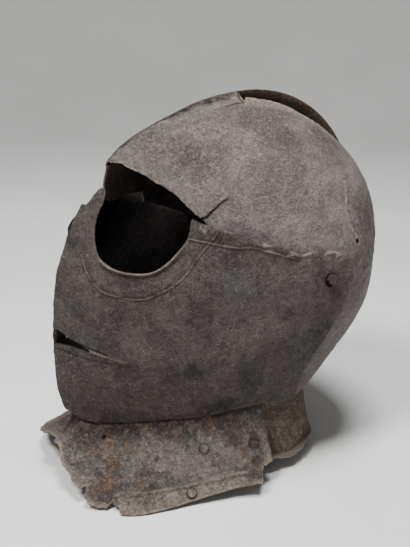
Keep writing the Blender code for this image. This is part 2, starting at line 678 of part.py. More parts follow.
def turned(profile, count, centre, axis):
    """A body of revolution. profile is (radius, height) from pole to pole, heights along axis."""
    axis = np.array(axis, float) / np.linalg.norm(axis)
    e1 = np.cross(axis, [0.0, 0.0, 1.0] if abs(axis[2]) < 0.9 else [0.0, 1.0, 0.0])
    e1 /= np.linalg.norm(e1)
    e2 = np.cross(axis, e1)
    verts, rings = [], []
    for r, h in profile:
        if r < 1e-6:
            rings.append([len(verts)])
            verts.append(np.array(centre) + axis * h)
            continue
        rings.append(list(range(len(verts), len(verts) + count)))
        for i in range(count):
            a = 2 * math.pi * i / count
            verts.append(np.array(centre) + axis * h + r * (math.cos(a) * e1 + math.sin(a) * e2))
    faces = []
    for low, high in zip(rings, rings[1:]):
        for i in range(count):
            j = (i + 1) % count
            if len(low) == 1:
                faces.append((low[0], high[j], high[i]))
            elif len(high) == 1:
                faces.append((low[i], low[j], high[0]))
            else:
                faces += [(low[i], low[j], high[j]), (low[i], high[j], high[i])]
    return np.array(verts), np.array(faces)


def outwards(verts, faces):
    a, b, c = (verts[faces[:, i]] for i in range(3))
    return faces if np.einsum("ij,ij->i", a, np.cross(b, c)).sum() > 0 else faces[:, ::-1]


def build_pivot_rivet(name, side, mat):
    face_out = HALF_WIDTH + FACE_OUT + 0.3
    skull_in = HALF_WIDTH + SKULL_IN - 0.9
    profile = [(0.0, skull_in - 2.4), (3.4, skull_in - 2.0), (4.8, skull_in), (PIVOT_SHANK_R, skull_in),
               (PIVOT_SHANK_R, face_out), (PIVOT_HEAD_R, face_out), (PIVOT_HEAD_R - 0.6, face_out + 1.2),
               (PIVOT_HEAD_R - 2.6, face_out + 2.2), (0.0, face_out + 2.6)]
    verts, faces = turned(profile, 20, (0.0, PIVOT_Y, PIVOT_Z), (side, 0.0, 0.0))
    return add(name, verts, outwards(verts, faces), mat, (0.0, PIVOT_Y, PIVOT_Z))


def build_gorget_rivet(name, side, sheet_point, sheet_normal, mat):
    top = FLANGE_HALF + 0.3
    profile = [(0.0, -top - 1.0), (2.9, -top - 0.9), (3.3, -top), (GORGET_RIVET_R, -top),
               (GORGET_RIVET_R, top), (GORGET_RIVET_HEAD_R, top), (GORGET_RIVET_HEAD_R - 0.6, top + 0.9),
               (0.0, top + 1.2)]
    verts, faces = turned(profile, 16, sheet_point, sheet_normal)
    a, b, c = (verts[faces[:, i]] - np.array(sheet_point) for i in range(3))
    if np.einsum("ij,ij->i", a, np.cross(b, c)).sum() < 0:
        faces = faces[:, ::-1]
    return add(name, verts, faces, mat, sheet_point)


def cut_hole(obj, centre, axis, r_mm, depth_mm):
    """A straight round hole through a flange."""
    verts, faces = turned([(0.0, -depth_mm), (r_mm, -depth_mm), (r_mm, depth_mm), (0.0, depth_mm)], 16, centre, axis)
    a, b, c = (verts[faces[:, i]] - np.array(centre) for i in range(3))
    if np.einsum("ij,ij->i", a, np.cross(b, c)).sum() < 0:
        faces = faces[:, ::-1]
    cutter = add(obj.name + "_cutter", verts, faces, obj.data.materials[0], centre)
    cutter.hide_render = True
    cutter.display_type = "WIRE"
    modifier = obj.modifiers.new("hole_" + str(len(obj.modifiers)), "BOOLEAN")
    modifier.operation = "DIFFERENCE"
    modifier.solver = "EXACT"
    modifier.object = cutter
    return cutter


def main():
    for obj in list(bpy.data.objects):
        bpy.data.objects.remove(obj, do_unlink=True)
    bpy.context.scene.unit_settings.scale_length = 1.0
    skull_mat = material("skull_iron", (0.115, 0.097, 0.085), 0.62)
    skull_far_mat = material("skull_iron_right", (0.110, 0.093, 0.082), 0.62)
    face_mat = material("face_iron", (0.080, 0.067, 0.060), 0.55)
    front_mat = material("flange_iron", (0.170, 0.145, 0.125), 0.70)
    rear_mat = material("flange_iron_rear", (0.190, 0.140, 0.100), 0.78)
    rivet_mats = [material("rivet_iron_%d" % i, (0.12, 0.10, 0.085), 0.6) for i in range(4)]

    build_skull("skull_left", 1, skull_mat)
    build_skull("skull_right", -1, skull_far_mat)
    build_face_plate(face_mat)

    columns, rows = 34, 8
    front = flange(front_flange_grid(1, columns, rows), front_flange_grid(-1, columns, rows), True)
    normal = sheet_normals(front)
    front_obj = build_flange("gorget_front", front, front_mat, (0.0, PIVOT_Y, PIVOT_Z))
    rear = flange(rear_flange_grid(1, 22, 6), rear_flange_grid(-1, 22, 6), False)
    build_flange("gorget_rear", rear, rear_mat, (0.0, 0.0, 0.0))

    for side, name in ((1, "left"), (-1, "right")):
        build_pivot_rivet("pivot_rivet_" + name, side, rivet_mats[0 if side > 0 else 1])
        j = GORGET_RIVET_AT[0] * (columns - 1) * side + columns - 1
        i = 1 + GORGET_RIVET_AT[1] * (rows - 1)
        i0, j0 = int(i), int(math.floor(j))
        di, dj = i - i0, j - j0
        point = sum(w * front[a, b] for w, a, b in (
            ((1 - di) * (1 - dj), i0, j0), ((1 - di) * dj, i0, j0 + 1),
            (di * (1 - dj), i0 + 1, j0), (di * dj, i0 + 1, j0 + 1)))
        axis = normal[i0:i0 + 2, j0:j0 + 2].mean(axis=(0, 1))
        axis /= np.linalg.norm(axis)
        cut_hole(front_obj, point, axis, GORGET_RIVET_R + 0.3, 4.0)
        build_gorget_rivet("gorget_rivet_" + name, side, point, axis, rivet_mats[2 if side > 0 else 3])


main()
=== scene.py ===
"""Finish, light and camera for a closed cavalry helmet of corroded sheet steel.

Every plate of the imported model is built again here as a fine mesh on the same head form, with its
dents, pits, engraved lines, cracks and torn edges, and rides the body of the plate that it stands for.
Metres, +Z up, the face looks along -Y. The tables are in mm before CENTRE is added, in polar
coordinates about the hinge line: theta_deg is the direction round the hinge as seen from the side
(180 forward, 90 up) and t runs from 0 at the hinge to 1 on the medial line of the helmet.
"""

import math

import bpy
import numpy as np
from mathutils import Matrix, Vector, kdtree
from mathutils.geometry import delaunay_2d_cdt


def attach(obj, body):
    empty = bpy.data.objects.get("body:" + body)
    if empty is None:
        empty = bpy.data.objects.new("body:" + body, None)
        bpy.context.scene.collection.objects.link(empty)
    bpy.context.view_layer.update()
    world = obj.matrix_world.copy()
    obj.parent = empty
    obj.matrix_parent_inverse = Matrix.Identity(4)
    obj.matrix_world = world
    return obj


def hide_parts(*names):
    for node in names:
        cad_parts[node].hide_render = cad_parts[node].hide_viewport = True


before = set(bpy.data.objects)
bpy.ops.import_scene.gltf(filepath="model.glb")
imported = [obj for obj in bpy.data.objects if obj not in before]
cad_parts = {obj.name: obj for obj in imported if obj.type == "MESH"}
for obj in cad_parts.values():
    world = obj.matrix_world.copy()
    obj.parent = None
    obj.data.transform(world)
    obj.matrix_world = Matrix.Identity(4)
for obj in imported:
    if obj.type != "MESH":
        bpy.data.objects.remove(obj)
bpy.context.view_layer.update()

MM = 0.001
PIVOT_Y = 32.0          # hinge line, mm, before CENTRE is added
PIVOT_Z = 167.5
HALF_WIDTH = 93.0       # head form at the hinge, mm
FACE_STEP = 1.5         # mesh spacing of the face plate, mm
SKULL_STEP = 1.25       # mesh spacing of the skull halves, mm
SKULL_OUT, SKULL_IN = 0.0, -2.0      # skull plate, measured from the head form
FACE_OUT, FACE_IN = 2.7, 0.8         # face plate, over the skull
FLANGE_HALF = 0.9       # half thickness of the neck flanges
SEAM_GAP = 0.15         # half gap between the skull halves
COMB_FOOT = 14.0        # width over which the skull rises into its comb
COMB_CREST = 2.0        # half width of the crest
FAR_RIM_PUSH = 10.5      # how far the right nasal rim is bent forward
PIVOT_HOLE_R = 3.3
PIVOT_SHANK_R = 3.0
PIVOT_HEAD_R = 6.0
GORGET_RIVET_R = 2.0
GORGET_RIVET_HEAD_R = 4.3
CENTRE = (0.0, 28.2, 0.0)   # added to every point, so that the whole is centred on the origin

# theta_deg, radius_mm of the medial line, pole tangent, rim tangent, keel
FORM = [
    (0, 86.0, 0.62, 0.60, 0.00),
    (20, 92.5, 0.60, 0.60, 0.00),
    (35, 98.5, 0.60, 0.60, 0.00),
    (50, 105.0, 0.60, 0.60, 0.00),
    (63, 111.0, 0.60, 0.58, 0.00),
    (80, 119.0, 0.60, 0.58, 0.00),
    (95, 126.6, 0.60, 0.58, 0.00),
    (110, 135.8, 0.60, 0.56, 0.00),
    (120, 144.2, 0.60, 0.55, 0.03),
    (130, 154.0, 0.60, 0.52, 0.08),
    (140, 165.0, 0.60, 0.50, 0.18),
    (150, 172.5, 0.60, 0.48, 0.39),
    (158, 172.6, 0.60, 0.46, 0.57),
    (168, 180.0, 0.58, 0.44, 0.60),
    (178, 187.6, 0.56, 0.44, 0.60),
    (188, 193.6, 0.56, 0.44, 0.60),
    (198, 203.5, 0.56, 0.46, 0.58),
    (208, 216.2, 0.56, 0.48, 0.51),
    (218, 222.0, 0.56, 0.50, 0.41),
    (228, 217.0, 0.58, 0.52, 0.27),
    (240, 202.5, 0.60, 0.55, 0.12),
    (252, 182.0, 0.60, 0.58, 0.01),
    (264, 157.5, 0.60, 0.58, 0.00),
    (275, 133.0, 0.60, 0.58, 0.00),
    (288, 113.5, 0.60, 0.58, 0.00),
    (300, 104.0, 0.61, 0.58, 0.00),
    (315, 97.0, 0.62, 0.58, 0.00),
    (330, 92.0, 0.62, 0.60, 0.00),
    (345, 88.0, 0.62, 0.60, 0.00),
]
# theta_deg, height_mm of the comb over the head form
COMB = [
    (0, 0.0), (22, 0.0), (34, 4.0), (43, 7.6), (51, 8.6), (60, 10.3), (70, 12.0),
    (80, 12.8), (90, 12.3), (98, 11.0), (105, 9.2), (112, 7.2), (119, 4.7),
    (125, 2.4), (131, 0.7), (136, 0.0), (180, 0.0), (270, 0.0),
]

# Outlines, all as theta_deg, t
TONGUE_TOP = (161.0, 1.0)
EYE_RIM = [
    (159.3, 0.9925), (157.4, 0.985), (155.9, 0.975), (155.1, 0.964), (155.0, 0.953), (155.6, 0.943),
    (158.0, 0.936), (161.8, 0.934),
    (165.2, 0.920), (167.5, 0.905), (170.0, 0.885), (172.8, 0.856), (174.4, 0.819),
    (175.5, 0.770), (175.9, 0.717), (175.5, 0.655), (174.4, 0.614), (171.5, 0.575),
    (166.8, 0.545), (162.1, 0.534), (158.0, 0.534), (154.0, 0.533), (152.3, 0.527),
]
# The right eye opening is a narrower slot, which shows no light in the view from the left
EYE_RIM_RIGHT = [
    (161.6, 0.988), (162.3, 0.970), (163.1, 0.952), (164.2, 0.938), (165.6, 0.927), (167.4, 0.916),
    (169.8, 0.902), (171.4, 0.886), (171.6, 0.870), (170.4, 0.860), (167.6, 0.854), (164.4, 0.850),
    (161.4, 0.842), (158.8, 0.822), (157.0, 0.780), (155.6, 0.720), (154.4, 0.650), (153.2, 0.580),
    (152.3, 0.527),
]
# How far the plates stand in or out between the brow and the cheeks, so that the face plate can
# swing over the skull: theta_deg, reach_deg, distance_mm from the hinge line, reach_mm, depth_mm
LEFT_RELIEF = [
    (141.0, 24.0, 96.0, 68.0, 3.7), (146.0, 12.0, 162.0, 22.0, 2.4), (141.0, 20.0, 112.0, 40.0, 2.6),
    (254.0, 28.0, 62.0, 52.0, 2.3),
]
RIGHT_RELIEF = [
    (142.0, 26.0, 112.0, 76.0, 5.2), (142.0, 20.0, 140.0, 26.0, 2.2), (146.0, 12.0, 162.0, 22.0, 2.4),
    (254.0, 28.0, 62.0, 52.0, 2.3),
]
RIGHT_SWELL = [(168.0, 24.0, 124.0, 52.0, 3.2)]
SEAM = [
    (152.3, 0.527), (152.8, 0.505), (151.6, 0.417), (150.0, 0.346), (147.7, 0.257),
    (143.1, 0.163), (137.6, 0.128), (117.4, 0.113), (87.2, 0.110), (60.4, 0.115),
    (35.0, 0.128), (17.1, 0.133), (355.0, 0.129), (337.4, 0.128), (308.0, 0.148),
    (284.0, 0.195), (271.1, 0.225), (263.5, 0.255), (259.6, 0.309), (259.8, 0.385),
    (262.3, 0.461),
]
FACE_BOTTOM = [
    (262.3, 0.461), (254.0, 0.410), (243.5, 0.391), (234.1, 0.441), (229.3, 0.501),
    (225.3, 0.565), (222.1, 0.640), (219.7, 0.723), (217.9, 0.816), (216.0, 0.910),
    (213.6, 0.975), (211.0, 1.0),
]
SLIT_LOWER = [(195.1, 1.0), (195.7, 0.968), (196.5, 0.930), (198.4, 0.862)]
SLIT_UPPER = [(197.9, 0.860), (195.0, 0.929), (193.4, 0.967), (191.9, 1.0)]
# The right half of the plate has its own narrow slit, a little way from the medial line
SLIT_RIGHT_LOWER = [(196.4, 0.938), (197.1, 0.905), (198.4, 0.866)]
SLIT_RIGHT_UPPER = [(198.4, 0.866), (196.2, 0.905), (195.4, 0.935), (196.4, 0.938)]
BROW = [
    (148.6, 1.0), (148.0, 0.965), (147.4, 0.927), (147.3, 0.867), (147.1, 0.787),
    (147.3, 0.742), (147.4, 0.680), (148.1, 0.611), (150.0, 0.535), (151.5, 0.481),
    (152.6, 0.450),
]
BROW_RIGHT = [
    (149.2, 1.0), (150.2, 0.975), (152.2, 0.945), (155.0, 0.920), (157.4, 0.885),
    (158.6, 0.845), (159.0, 0.800), (158.6, 0.755), (157.6, 0.700), (156.2, 0.640),
    (154.8, 0.560), (153.8, 0.500), (152.6, 0.450),
]
NAPE_BOTTOM = [
    (282.6, 1.0), (282.2, 0.90), (280.2, 0.76), (276.0, 0.64), (270.5, 0.555),
    (264.5, 0.500),
]
# theta_deg, distance_mm from the hinge line
SKULL_HIDDEN = [
    (259.0, 104.0), (254.0, 84.0), (252.0, 66.0), (250.0, 51.0), (235.0, 37.0),
    (205.0, 28.0), (180.0, 28.0), (162.0, 36.0), (157.0, 61.5), (157.0, 83.0),
    (157.5, 97.0),
]
# theta_deg, distance_mm of the broken edge of the left comb flank from the medial line
COMB_BREAK = [
    (103.4, 0.6), (103.0, 5.6), (102.4, 5.0), (101.6, 3.4), (98.0, 4.1), (93.0, 4.7),
    (88.5, 5.4), (84.5, 6.6), (80.5, 7.5), (75.5, 8.2), (70.5, 8.6), (65.0, 8.0), (60.0, 6.2),
    (55.0, 4.2), (50.0, 2.6), (45.0, 1.6), (38.0, 1.0), (30.0, 0.0),
]
REAR_HOLE = (42.4, 0.230, 2.4)      # theta_deg, t, radius_mm

# Front neck flange: theta_deg and t of its neck line, then its rim in mm
FRONT_FLANGE = [
    (211.0, 1.000, 0.0, -168.0, 30.0),
    (213.6, 0.975, 9.0, -173.5, 31.5),
    (214.9, 0.945, 19.0, -174.0, 27.0),
    (216.0, 0.910, 33.0, -173.0, 20.5),
    (217.9, 0.816, 52.0, -169.0, 13.5),
    (219.7, 0.723, 68.0, -161.0, 4.5),
    (222.1, 0.640, 82.0, -146.5, 1.0),
    (225.3, 0.565, 90.0, -134.0, 0.0),
    (229.3, 0.501, 94.5, -115.0, 1.5),
    (232.0, 0.468, 97.7, -92.0, 4.0),
    (234.6, 0.438, 101.0, -74.5, 7.0),
    (237.6, 0.414, 105.5, -52.5, 10.0),
    (240.6, 0.398, 111.0, -35.5, 12.5),
    (243.4, 0.391, 103.0, -27.0, 15.5),
    (246.0, 0.391, 96.5, -17.0, 17.5),
]
# Rear neck flange: theta_deg and t of its neck line, inset_mm, rim in mm, lip_mm
REAR_FLANGE = [
    (243.0, 0.425, 5.0, 80.0, -20.0, 17.0, 7.0),
    (248.0, 0.430, 5.0, 80.0, -10.0, 13.0, 8.0),
    (254.0, 0.445, 5.0, 79.5, 1.0, 10.0, 8.5),
    (261.5, 0.488, 4.6, 77.0, 13.0, 9.5, 8.0),
    (269.0, 0.545, 3.5, 72.0, 27.0, 12.0, 5.5),
    (275.5, 0.640, 3.5, 60.5, 42.0, 11.0, 3.0),
    (279.6, 0.760, 3.5, 43.0, 55.0, 4.0, 1.5),
    (281.4, 0.900, 3.5, 24.0, 65.0, 0.0, 0.6),
    (281.7, 1.000, 3.5, 0.0, 71.5, 0.0, 0.5),
]
GORGET_RIVET_AT = (0.636, 0.900)    # fraction along the front flange, fraction down it


# Stains charted: theta_deg, t, radius_mm, strength, kind
FACE_STAINS = [
    (205.0, 0.70, 11.0, 0.6, "dark"), (212.0, 0.45, 10.0, 0.7, "dark"), (222.0, 0.30, 8.0, 0.6, "dark"),
    (190.0, 0.42, 13.0, 0.5, "dark"), (196.0, 0.88, 10.0, 0.5, "blue"), (178.0, 0.30, 14.0, 0.4, "blue"),
    (230.0, 0.42, 10.0, 0.5, "dark"), (186.0, 0.93, 8.0, 0.4, "blue"),
]
SKULL_STAINS = [
    (120.0, 0.45, 16.0, 0.4, "blue"), (100.0, 0.62, 14.0, 0.4, "dark"), (135.0, 0.70, 12.0, 0.35, "dark"),
    (80.0, 0.70, 14.0, 0.4, "dark"), (20.0, 0.50, 18.0, 0.5, "dark"), (340.0, 0.55, 18.0, 0.5, "dark"),
]


def periodic(table, theta):
    """Smooth closed curve through a table whose first column is an angle in degrees."""
    table = np.asarray(table, float)
    knots = np.concatenate([table[:, 0] - 360, table[:, 0], table[:, 0] + 360])
    theta = np.mod(np.asarray(theta, float), 360.0)
    i = np.searchsorted(knots, theta, side="right") - 1
    gap = np.diff(knots)
    out = []
    for c in range(1, table.shape[1]):
        y = np.tile(table[:, c], 3)
        d = np.diff(y) / gap
        m = np.zeros_like(y)
        m[1:-1] = (d[:-1] * gap[1:] + d[1:] * gap[:-1]) / (gap[:-1] + gap[1:])
        s = (theta - knots[i]) / gap[i]
        out.append((2 * s**3 - 3 * s**2 + 1) * y[i] + (s**3 - 2 * s**2 + s) * m[i] * gap[i]
                   + (3 * s**2 - 2 * s**3) * y[i + 1] + (s**3 - s**2) * m[i + 1] * gap[i])
    return out


def radius(theta):
    return periodic(FORM, theta)[0]


def smooth(x):
    x = np.clip(x, 0.0, 1.0)
    return x * x * (3 - 2 * x)


def head_form(theta, t):
    """Points in mm on the left side of the head form, without the comb."""
    theta, t = np.broadcast_arrays(np.asarray(theta, float), np.asarray(t, float))
    big_r, a, b, k = periodic(FORM, theta)
    u = 1 - t
    r = big_r * (3 * u * u * t * a + 3 * u * t * t * (1 - k * b) + t**3)
    x = HALF_WIDTH * (u**3 + 3 * u * u * t + 3 * u * t * t * b)
    # round the hinge the sides are the same in every direction, so that the plates can slide
    boss = HALF_WIDTH * (1 - 0.5 * (r / 150.0) ** 2)
    w = smooth((62 - r) / 38.0)
    x = x * (1 - w) + boss * w
    a = np.radians(theta)
    return np.stack([x, PIVOT_Y + r * np.cos(a), PIVOT_Z + r * np.sin(a)], -1)


def bumps(table, theta, r):
    """Sum of the smooth round bumps of a table."""
    out = np.zeros(np.broadcast(theta, r).shape)
    for at, reach, from_hinge, width, depth in table:
        a = np.clip(1 - ((theta - at) / reach) ** 2, 0.0, 1.0) ** 2
        b = np.clip(1 - ((r - from_hinge) / width) ** 2, 0.0, 1.0) ** 2
        out = out + depth * a * b
    return out


def skull_form(theta, t, relief=LEFT_RELIEF):
    """Head form with the flank of the comb rising near the medial line."""
    points = head_form(theta, t)
    depth = bumps(relief, np.asarray(theta, float), np.hypot(points[..., 1] - PIVOT_Y, points[..., 2] - PIVOT_Z))
    points[..., 0] = np.maximum(points[..., 0] - depth, 0.4 * points[..., 0])
    height = periodic(COMB, theta)[0]
    height = np.maximum(height, 0.0)
    big_r = radius(theta)
    u = 1 - (1 - np.asarray(t, float)) * big_r / COMB_FOOT
    v = np.clip((u - 0.1) / 0.9, 0.0, 1.0)
    lift = height * v**2.1
    crest = COMB_CREST * smooth(u / 0.8) * np.clip(height / 5.0, 0.0, 1.0)
    points[..., 0] = np.hypot(points[..., 0], crest)
    a = np.radians(theta)
    points[..., 1] += lift * np.cos(a)
    points[..., 2] += lift * np.sin(a)
    return points


def right_skull_form(theta, t):
    return skull_form(theta, t, RIGHT_RELIEF)


def far_face_form(theta, t):
    """Head form for the right side of the face, with its nasal rim bent forward."""
    points = head_form(theta, t)
    swell = bumps(RIGHT_SWELL, np.asarray(theta, float), np.hypot(points[..., 1] - PIVOT_Y, points[..., 2] - PIVOT_Z))
    points[..., 0] += swell * smooth((0.97 - t) / 0.1)
    along = smooth((theta - 159.5) / 5.0) * smooth((174.0 - theta) / 7.0)
    near = smooth((0.985 - t) / 0.075) * smooth((t - 0.72) / 0.08)
    push = FAR_RIM_PUSH * along * near
    points[..., 1] -= push * 0.96
    points[..., 0] += push * 0.28
    return points


def normals_of(form, theta, t):
    dt = 0.002
    t1 = np.minimum(np.asarray(t, float) + dt, 1.0)
    t0 = np.maximum(t1 - 2 * dt, 1e-4)
    across = form(theta + 0.25, t) - form(theta - 0.25, t)
    along = form(theta, t1) - form(theta, t0)
    n = np.cross(along, across)
    length = np.linalg.norm(n, axis=-1)
    n = n / np.maximum(length, 1e-9)[..., None]
    return n * np.where((n * np.stack([np.full_like(n[..., 0], 0.35), np.cos(np.radians(theta)),
                                       np.sin(np.radians(theta))], -1)).sum(-1) < 0, -1.0, 1.0)[..., None]


def solve_t(theta, r):
    """t of the point at a distance r from the hinge line in the direction theta."""
    big_r, a, b, k = periodic(FORM, theta)
    low, high = np.zeros_like(r), np.ones_like(r)
    for _ in range(40):
        t = (low + high) / 2
        u = 1 - t
        value = big_r * (3 * u * u * t * a + 3 * u * t * t * (1 - k * b) + t**3)
        low, high = np.where(value < r, t, low), np.where(value < r, high, t)
    return (low + high) / 2


def to_plan(theta, t):
    r = radius(theta) * t
    a = np.radians(theta)
    return np.stack([r * np.cos(a), r * np.sin(a)], -1)


def from_plan(points):
    theta = np.degrees(np.arctan2(points[:, 1], points[:, 0])) % 360
    return theta, np.minimum(np.hypot(points[:, 0], points[:, 1]) / radius(theta), 1.0)


def unwrap(pairs):
    """The same outline with theta free of jumps over 360 degrees."""
    out = [list(pairs[0])]
    for theta, t in pairs[1:]:
        while theta - out[-1][0] > 180:
            theta -= 360
        while theta - out[-1][0] < -180:
            theta += 360
        out.append([theta, t])
    return np.array(out, float)


def line(pairs, step, curved=True):
    """Plan points every step mm along a smooth line through (theta_deg, t) pairs."""
    pairs = unwrap(pairs)
    plan = to_plan(pairs[:, 0], pairs[:, 1])
    if curved and len(plan) > 2:
        chord = np.concatenate([[0], np.cumsum(np.linalg.norm(np.diff(plan, axis=0), axis=1) ** 0.5)])
        fine = np.linspace(0, chord[-1], 40 * len(plan))
        slope = np.gradient(plan, chord, axis=0)
        i = np.clip(np.searchsorted(chord, fine, side="right") - 1, 0, len(plan) - 2)
        h = (chord[i + 1] - chord[i])[:, None]
        s = ((fine - chord[i]) / h[:, 0])[:, None]
        plan = ((2 * s**3 - 3 * s**2 + 1) * plan[i] + (s**3 - 2 * s**2 + s) * slope[i] * h
                + (3 * s**2 - 2 * s**3) * plan[i + 1] + (s**3 - s**2) * slope[i + 1] * h)
    length = np.concatenate([[0], np.cumsum(np.linalg.norm(np.diff(plan, axis=0), axis=1))])
    count = max(1, int(round(length[-1] / step)))
    at = np.linspace(0, length[-1], count + 1)
    return np.stack([np.interp(at, length, plan[:, 0]), np.interp(at, length, plan[:, 1])], -1)


def medial(start, end, step):
    """Plan points along the medial line between two directions."""
    count = max(1, int(round(abs(end - start) * math.pi / 180 * 150 / step)))
    theta = np.linspace(start, end, count + 1)
    return to_plan(theta, np.ones_like(theta))


def ring(theta, t, r_mm, count):
    """Plan points of a round hole of r_mm about a point of the form."""
    centre = head_form(theta, t)
    normal = normals_of(head_form, np.array([float(theta)]), np.array([float(t)]))[0]
    e1 = np.cross(normal, [1.0, 0, 0] if abs(normal[0]) < 0.9 else [0, 1.0, 0])
    e1 /= np.linalg.norm(e1)
    e2 = np.cross(normal, e1)
    out = []
    for i in range(count):
        a = 2 * math.pi * i / count
        p = centre + r_mm * (math.cos(a) * e1 + math.sin(a) * e2)
        dy, dz = p[1] - PIVOT_Y, p[2] - PIVOT_Z
        th = math.degrees(math.atan2(dz, dy)) % 360
        out.append(to_plan(np.array([th]), solve_t(np.array([th]), np.array([math.hypot(dy, dz)])))[0])
    return np.array(out)


def join(*parts):
    out = []
    for part in parts:
        for p in part:
            if not out or np.linalg.norm(p - out[-1]) > 1e-6:
                out.append(p)
    if np.linalg.norm(out[0] - out[-1]) < 1e-6:
        out.pop()
    return np.array(out)


def inside(points, loop):
    """Which points are inside a closed loop."""
    x, y = points[:, 0], points[:, 1]
    result = np.zeros(len(points), bool)
    for (x0, y0), (x1, y1) in zip(loop, np.roll(loop, -1, axis=0)):
        if y0 == y1:
            continue
        crosses = (y0 > y) != (y1 > y)
        result ^= crosses & (x < x0 + (y - y0) * (x1 - x0) / (y1 - y0))
    return result


def shell(outer, inner, faces):
    """One closed body between two matching sheets. The faces look out of the outer sheet."""
    count = len(outer)
    seen = {}
    for a, b, c in faces:
        for i, j in ((a, b), (b, c), (c, a)):
            seen[(i, j)] = True
    walls = []
    for i, j in seen:
        if (j, i) not in seen:
            walls += [(j, i, count + i), (j, count + i, count + j)]
    verts = np.concatenate([outer, inner])
    faces = np.concatenate([faces, faces[:, ::-1] + count, np.array(walls, int).reshape(-1, 3)])
    used = np.unique(faces)
    index = np.full(len(verts), -1)
    index[used] = np.arange(len(used))
    return verts[used], index[faces]


def add(name, verts, faces, material, origin=(0.0, 0.0, 0.0)):
    mesh = bpy.data.meshes.new(name)
    origin = np.array(origin, float)
    mesh.from_pydata([tuple(v) for v in (np.asarray(verts) - origin) * MM], [],
                     [tuple(int(i) for i in f) for f in faces])
    mesh.update()
    mesh.materials.append(material)
    obj = bpy.data.objects.new(name, mesh)
    obj.location = tuple((origin + np.array(CENTRE)) * MM)
    bpy.context.scene.collection.objects.link(obj)
    return obj


def right_slit(step):
    return np.concatenate([line(SLIT_RIGHT_LOWER, step)[:-1], line(SLIT_RIGHT_UPPER, step)[:-1]])


def orient(points, faces):
    """Faces turned so that they look out, away from the middle of the head."""
    a, b, c = (points[faces[:, i]] for i in range(3))
    normal = np.cross(b - a, c - a)
    away = a - np.array([0.0, -10.0, 160.0])
    return faces if (normal * away).sum() > 0 else faces[:, ::-1]


def resample(rows, count):
    """Rows of a table at even steps along a smooth curve."""
    rows = np.asarray(rows, float)
    knots = np.arange(len(rows), dtype=float)
    at = np.linspace(0, len(rows) - 1, count)
    slope = np.gradient(rows, knots, axis=0)
    i = np.clip(at.astype(int), 0, len(rows) - 2)
    s = (at - i)[:, None]
    return ((2 * s**3 - 3 * s**2 + 1) * rows[i] + (s**3 - 2 * s**2 + s) * slope[i]
            + (3 * s**2 - 2 * s**3) * rows[i + 1] + (s**3 - s**2) * slope[i + 1])


def ragged(at, seed, size):
    """Torn-edge profile: a few slow and quick waves of fixed phase, mm."""
    out = np.zeros_like(at)
    for k, (wave, weight) in enumerate(((5.3, 0.5), (11.9, 0.32), (23.7, 0.22), (41.3, 0.12))):
        out += weight * np.sin(at * wave + seed * 1.7 + k * 2.1)
    return out * size


def front_flange_grid(side, columns, rows):
    table = resample(FRONT_FLANGE, columns)
    theta, t, rim = table[:, 0], np.minimum(table[:, 1], 1.0), table[:, 2:5].copy()
    at = np.linspace(0, 1, columns)
    medial_share = np.clip(1 - t, 0, 0.4) / 0.4
    away = smooth(medial_share * 1.4)
    tuck_theta = theta - 1.9 * (1 - away)
    tuck_t = t * (1 - 0.062 * away)
    theta, t = theta + 1.0 * (1 - away), np.minimum(t * (1 + 0.03 * away), 1.0)
    neck = head_form(theta, t)
    normal = normals_of(head_form, theta, t)
    tuck = head_form(tuck_theta, tuck_t)
    tuck_normal = normals_of(head_form, tuck_theta, tuck_t)
    neck, tuck = neck - normal * 1.2, tuck - tuck_normal * 1.2
    neck[0, 0] = tuck[0, 0] = rim[0, 0] = 0.0
    out = rim - neck
    length = np.linalg.norm(out, axis=1, keepdims=True)
    torn = smooth((at - 0.05) / 0.05) * (1 - 0.85 * smooth((at - 0.42) / 0.06)) + 0.0
    torn = torn + 0.8 * smooth((at - 0.86) / 0.05)
    rim = rim + out / length * (ragged(at * 4.0, 1.0 + side, 2.6) * torn)[:, None] * np.array([1.0, 1.0, 0.0])
    rim[:, 2] = np.maximum(rim[:, 2], 0.0)
    out = rim - neck
    s = np.linspace(0, 1, rows)
    middle = (neck + rim) / 2
    lateral = np.stack([out[:, 0], out[:, 1], np.zeros(columns)], -1)
    lateral /= np.maximum(np.linalg.norm(lateral, axis=1, keepdims=True), 1e-6)
    control = middle - lateral * 4.0 - np.array([0.0, 0.0, 4.0])
    grid = [tuck]
    for v in s:
        grid.append((1 - v) ** 2 * neck + 2 * v * (1 - v) * control + v * v * rim)
    grid = np.array(grid)
    grid[:, 0, 0] = 0.0
    return grid


